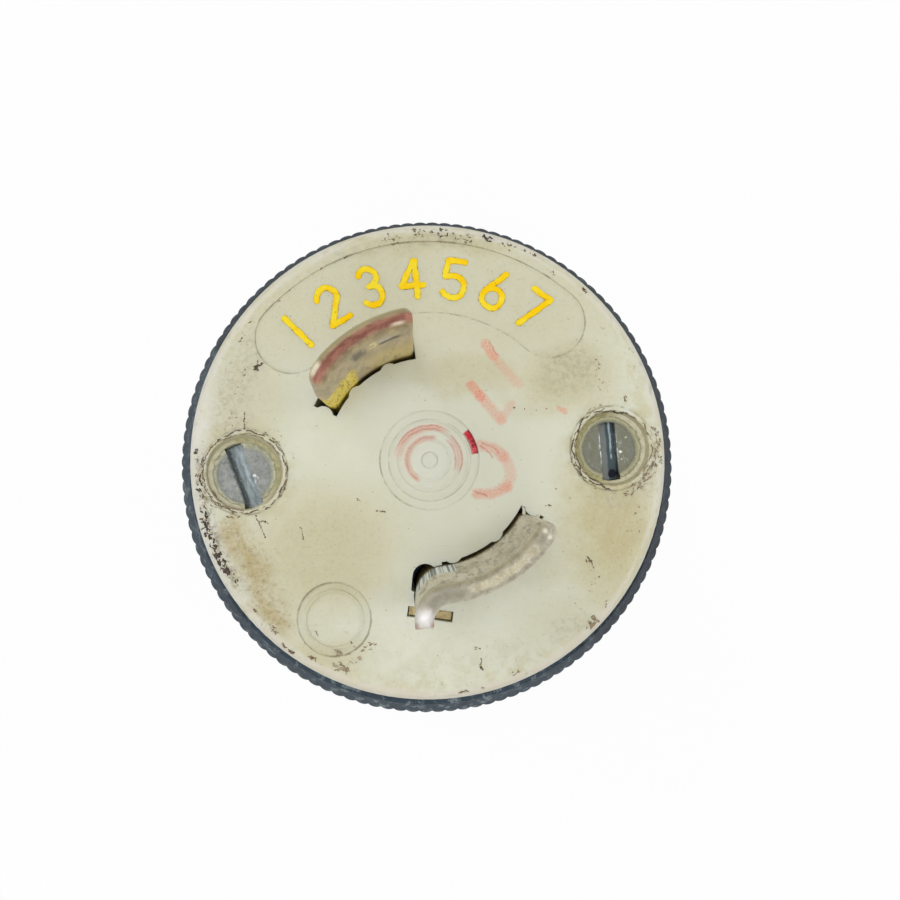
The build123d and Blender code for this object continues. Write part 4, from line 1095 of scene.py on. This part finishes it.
# Slivers of moulding flash at the hook's slot: place, direction in degrees, length and width share
FLASH_SLIVERS = ((7.04, -4.28, 94.0, 1.05, 0.24), (7.99, -4.65, 22.0, 0.65, 0.35))
FLASH_TONE = 0.0
SPECK_COUNT = 260
SPECK_REACH = 17.6
SPECK_TONE = 0.38
TONE_SPREAD = 0.10
FLAKE_ROWS = 7
FLAKE_COLUMNS = 8
FLAKE_HEIGHT = 0.05
FLAKE_FULL_LENGTH = 0.2
FLAKE_BEND = 0.35
FLAKE_END_GIRTH = 0.02
FLAKE_SIZES = (0.5, 1.3)
GRIME_SEED = 11


def face_height(x, y):
    """Height of the face: flat, lower in the panel, raised on the recess lips, round at the rim."""
    radius = np.hypot(x - FACE_X, y - FACE_Y)
    beyond = np.clip(radius - FACE_RADIUS + EDGE_ROUND, 0, EDGE_ROUND)
    height = FACE_TOP - EDGE_ROUND + np.sqrt(EDGE_ROUND**2 - beyond**2)
    from_top = np.degrees(np.abs(np.arctan2(x - FACE_X, y - FACE_Y)))
    in_panel = (np.abs(radius - PANEL_RADIUS) < PANEL_WIDTH / 2) & (from_top < PANEL_HALF_SPAN)
    height = height - PANEL_DEPTH * in_panel
    for centre in RECESS_CENTRES:
        from_recess = np.hypot(x - centre[0], y - centre[1])
        height = height + LIP_HEIGHT * (from_recess < RECESS_RADIUS + LIP_WIDTH)
        inside = np.clip((RECESS_RADIUS - from_recess) / RECESS_DRAFT, 0, 1)
        height = height - RECESS_DRAFT_DEPTH * inside
    return height


def scattered(chance, places, heading, strays, length, slims, tone):
    """Rows of x, y, direction, length, width share and tone for the flakes of one patch."""
    count = len(places)
    turn = heading + chance.normal(0, strays, count)
    size = length * chance.uniform(*FLAKE_SIZES, count)
    shade = np.clip(tone + chance.normal(0, TONE_SPREAD, count), 0, 1)
    return np.column_stack([places, turn, size, chance.uniform(*slims, count), shade])


def grime_flakes(chance):
    """All the flakes of grime, a row each."""
    rows = []
    for angle, radius, half_span, half_height, count, length, tone in RIM_GRIME:
        at = angle + half_span * chance.uniform(-1, 1, count)
        out = radius + half_height * chance.uniform(-1, 1, count)
        places = np.column_stack(around(FACE_CENTRE, out, at))
        rows.append(scattered(chance, places, at + 90, 40, length, (0.18, 0.55), tone))
    for side, start, end, radius, half_height, count, length, tone in RECESS_GRIME:
        at = chance.uniform(start, end, count)
        out = radius + half_height * chance.uniform(-1, 1, count)
        places = np.column_stack(around(RECESS_CENTRES[side], out, at))
        rows.append(scattered(chance, places, at + 90, 20, length, (0.12, 0.40), tone))
    for side, start, end, radius, tone in RECESS_LINES:
        at = np.arange(start, end, math.degrees(LINE_STEP / radius))
        at = at[np.sin(at * 0.17 + start) + np.sin(at * 0.39 + end) > -1.0]
        out = radius + RECESS_WOBBLE * (np.sin(at * 0.31 + start) + np.sin(at * 0.13 + end))
        places = np.column_stack(around(RECESS_CENTRES[side], out, at))
        rows.append(scattered(chance, places, at + 90, 9, 0.30, (0.12, 0.34), tone))
    for points in DIRT_LINES:
        path = resampled(np.array(points), LINE_STEP)
        run = np.gradient(path, axis=0)
        heading = np.degrees(np.arctan2(run[:, 1], run[:, 0]))
        places = path + chance.normal(0, LINE_STRAY, path.shape)
        rows.append(scattered(chance, places, heading, 18, 0.15, (0.35, 0.7), LINE_TONE))
    out = SPECK_REACH * np.sqrt(chance.uniform(0.05, 1, SPECK_COUNT))
    at = chance.uniform(0, 360, SPECK_COUNT)
    places = np.column_stack(around(FACE_CENTRE, out, at))
    rows.append(scattered(chance, places, at, 90, 0.075, (0.4, 0.9), SPECK_TONE))
    rows.append(scattered(chance, np.array(DIRT_SPECKS), 0, 90, 0.12, (0.5, 0.9), LINE_TONE))
    rows.append(np.array([(*sliver, FLASH_TONE) for sliver in FLASH_SLIVERS]))
    return np.concatenate(rows)


def face_grime(material):
    """Flakes of grime, each a flattened lump half sunk in the face.

    Along a lump s runs from -1 to 1 and round it t runs through a full turn. Its half width and its height
    both go as the root of one less s squared, the width wavers along s, and the whole lies on the face's
    height.
    """
    chance = np.random.default_rng(GRIME_SEED)
    flakes = grime_flakes(chance)
    count = len(flakes)
    place_x, place_y, turn, length, slim, tone = (column[:, None, None] for column in flakes.T)
    s = np.sin(np.linspace(-math.pi / 2, math.pi / 2, FLAKE_ROWS))[None, :, None]
    t = np.linspace(0, 2 * math.pi, FLAKE_COLUMNS, endpoint=False)[None, None, :]
    girth = np.sqrt(np.maximum(1 - s**2, FLAKE_END_GIRTH**2))
    phase = chance.uniform(0, 2 * math.pi, (count, 2, 1, 1))
    slow_wave = np.sin(3.1 * s + phase[:, 0] + 1.3 * np.cos(t))
    waver = 1 + 0.40 * slow_wave + 0.25 * np.sin(6.3 * s + phase[:, 1])
    half = length / 2
    along = half * s + 0 * t
    bend = FLAKE_BEND * half * chance.normal(0, 1, (count, 1, 1)) * s**2
    across = half * slim * girth * waver * np.cos(t) + bend
    rise = FLAKE_HEIGHT * np.minimum(1, length / FLAKE_FULL_LENGTH) * girth * np.sin(t)
    cosine, sine = np.cos(np.radians(turn)), np.sin(np.radians(turn))
    x = place_x + along * cosine - across * sine
    y = place_y + along * sine + across * cosine
    points = np.stack([x, y, face_height(x, y) + rise], 3)
    each = FLAKE_ROWS * FLAKE_COLUMNS
    one = grid_faces(FLAKE_ROWS, FLAKE_COLUMNS, 0)
    faces = (np.arange(count)[:, None, None] * each + one[None]).reshape(-1, 4)
    made = mesh_object("face_grime", points.reshape(-1, 3), faces, material)
    keep_values(made, "tone", np.repeat(tone.ravel(), each))


# Grease in the recesses

FILM_COLUMNS = 120
FILM_ROWS = 12
FILM_INNER_RADIUS = 1.98
FILM_RISE = 0.40
FILM_LIFT = 0.01
FILM_WAVER = 0.05
FILM_WAVES = 3
# Whether the upper and the lower end of the left and the right screw's slot are open
OPEN_SLOT_ENDS = ((True, True), (False, True))


def recess_film(material):
    """Film of grease in both recesses, from the screw's shoulder up to the recess wall.

    Round the screw u runs through a full turn, and v runs from 0 on the shoulder to 1 at the wall. The
    place goes straight from a wavy circle about the screw to one about the recess, and the height rises
    as v squared. The faces over the open ends of the screw's slot are left out.
    """
    u = np.linspace(0, 2 * math.pi, FILM_COLUMNS, endpoint=False)[None, :]
    v = np.linspace(0, 1, FILM_ROWS)[:, None]
    points, faces, shares = [], [], []
    ends = zip(SCREW_CENTRES, RECESS_CENTRES, SCREW_SLOT_ANGLES, OPEN_SLOT_ENDS)
    for (screw_x, screw_y), (recess_x, recess_y), angle, (upper, lower) in ends:
        inner = FILM_INNER_RADIUS + FILM_WAVER * np.sin(FILM_WAVES * u + angle)
        x = (screw_x + inner * np.cos(u)) * (1 - v) + (recess_x + RECESS_RADIUS * np.cos(u)) * v
        y = (screw_y + inner * np.sin(u)) * (1 - v) + (recess_y + RECESS_RADIUS * np.sin(u)) * v
        cosine, sine = math.cos(math.radians(angle)), math.sin(math.radians(angle))
        across = (y - screw_y) * cosine - (x - screw_x) * sine
        along = (x - screw_x) * cosine + (y - screw_y) * sine
        over_slot = (np.abs(across) < SCREW_SLOT_WIDTH / 2) & (np.hypot(across, along) < SCREW_HEAD_RADIUS)
        bare = (over_slot & np.where(along > 0, upper, lower)).ravel()
        z = HEAD_TOP + FILM_LIFT + FILM_RISE * v**2 + 0 * x
        sheet = grid_faces(FILM_ROWS, FILM_COLUMNS, 0)
        sheet = sheet[~bare[sheet].any(1)]
        faces.append(sheet + len(points) * x.size)
        points.append(np.stack([x, y, z], 2).reshape(-1, 3))
        shares.append((v + 0 * u).ravel())
    points, faces = np.concatenate(points), np.concatenate(faces)
    made = mesh_object("recess_film", points, faces, material)
    keep_values(made, "across", np.concatenate(shares))


def dress_nodes():
    """Gives each solid of the frame its finish."""
    finishes = {
        "ivory_plastic": ivory_moulding(),
        "black_plastic": black_moulding(),
        "carrier_plastic": carrier_moulding(),
        "brass": tarnished_brass(),
        "nickel": dull_nickel(),
        "zinc_steel": scratched_zinc(),
    }
    for part in frame["record"]["subparts"]:
        mesh = frame["nodes"][part["node"]].data
        mesh.materials.clear()
        mesh.materials.append(finishes[part["material_slot"]])


# Stage, light and camera, with the places and sizes of floor and lights in metres

FLOOR_HALF = 3.0
FLOOR_HEIGHT = -0.00002
FLOOR_GLOW = 0.92
FLOOR_COLOUR = (0.86, 0.86, 0.86)
SKY_LEVEL = 0.43
# Soft lights: name, place, size, watts and whether they show in reflections
LIGHTS = (
    ("light_overhead", (-0.02, 0.02, 0.55), 0.25, 1.36, False),
    ("light_upper_left", (-0.28, 0.30, 0.42), 0.30, 0.45, True),
    ("light_right", (0.42, 0.06, 0.34), 0.30, 0.30, True),
    ("light_front", (-0.05, -0.42, 0.36), 0.30, 0.30, True),
)


def floor():
    """White floor that keeps a soft shadow: part of it shines for the camera and for reflections."""
    material = bpy.data.materials.new("white_floor")
    material.use_nodes = True
    tree = material.node_tree
    tree.nodes.clear()
    paper = tree.nodes.new("ShaderNodeBsdfDiffuse")
    feed(paper.inputs["Color"], FLOOR_COLOUR)
    glow = tree.nodes.new("ShaderNodeEmission")
    path = tree.nodes.new("ShaderNodeLightPath")
    seen = union(Field(path.outputs[f"Is {kind} Ray"]) for kind in ("Camera", "Glossy", "Transmission"))
    blend = tree.nodes.new("ShaderNodeMixShader")
    feed(blend.inputs[0], seen * FLOOR_GLOW)
    tree.links.new(paper.outputs[0], blend.inputs[1])
    tree.links.new(glow.outputs[0], blend.inputs[2])
    output = tree.nodes.new("ShaderNodeOutputMaterial")
    tree.links.new(blend.outputs[0], output.inputs[0])
    signs = ((-1, -1), (1, -1), (1, 1), (-1, 1))
    mesh = bpy.data.meshes.new("floor")
    mesh.from_pydata([(x * FLOOR_HALF, y * FLOOR_HALF, FLOOR_HEIGHT) for x, y in signs], [], [(0, 1, 2, 3)])
    mesh.materials.append(material)
    made = placed("floor", mesh)


def studio():
    """White surroundings, a fill light over the face without glare, and soft lights from three sides."""
    world = bpy.data.worlds.new("studio")
    bpy.context.scene.world = world
    world.use_nodes = True
    tree = world.node_tree
    path = tree.nodes.new("ShaderNodeLightPath")
    sky = tree.nodes["Background"].inputs
    feed(sky["Color"], (1.0, 1.0, 1.0))
    feed(sky["Strength"], Field(path.outputs["Is Camera Ray"]).spread(SKY_LEVEL, 1.0))
    for name, place, size, watts, glare in LIGHTS:
        light = bpy.data.lights.new(name, "AREA")
        light.size = size
        light.energy = watts
        made = placed(name, light)
        aim = Vector((0, 0, FACE_TOP * MM)) - Vector(place)
        made.matrix_world = Matrix.Translation(place) @ aim.to_track_quat("-Z", "Y").to_matrix().to_4x4()
        made.visible_glossy = glare


def camera():
    """The photograph's camera, close above the face, so that the blades lean outwards."""
    x, y, z = (math.radians(angle) for angle in CAMERA_TILT)
    turn = Matrix.Rotation(x, 3, "X") @ Matrix.Rotation(y, 3, "Y") @ Matrix.Rotation(z, 3, "Z")
    back = turn.transposed()
    target = Vector((0, FACE_Y - CAMERA_TARGET_DROP, FACE_TOP))
    place = back @ Vector((*CAMERA_SHIFT, CAMERA_DISTANCE)) + target
    data = bpy.data.cameras.new("camera")
    data.sensor_width = SENSOR_WIDTH
    data.lens = SENSOR_WIDTH * FOCAL_PIXELS / IMAGE_PIXELS
    data.clip_start = CAMERA_CLIP * MM
    made = placed("camera", data)
    made.matrix_world = Matrix.Translation(place * MM) @ back.to_4x4()
    bpy.context.scene.camera = made


dress_nodes()
painted_numbers(yellow_paint())
face_grime(caked_grime())
recess_film(old_grease())
floor()
studio()
camera()
bpy.context.scene.view_settings.view_transform = "Standard"
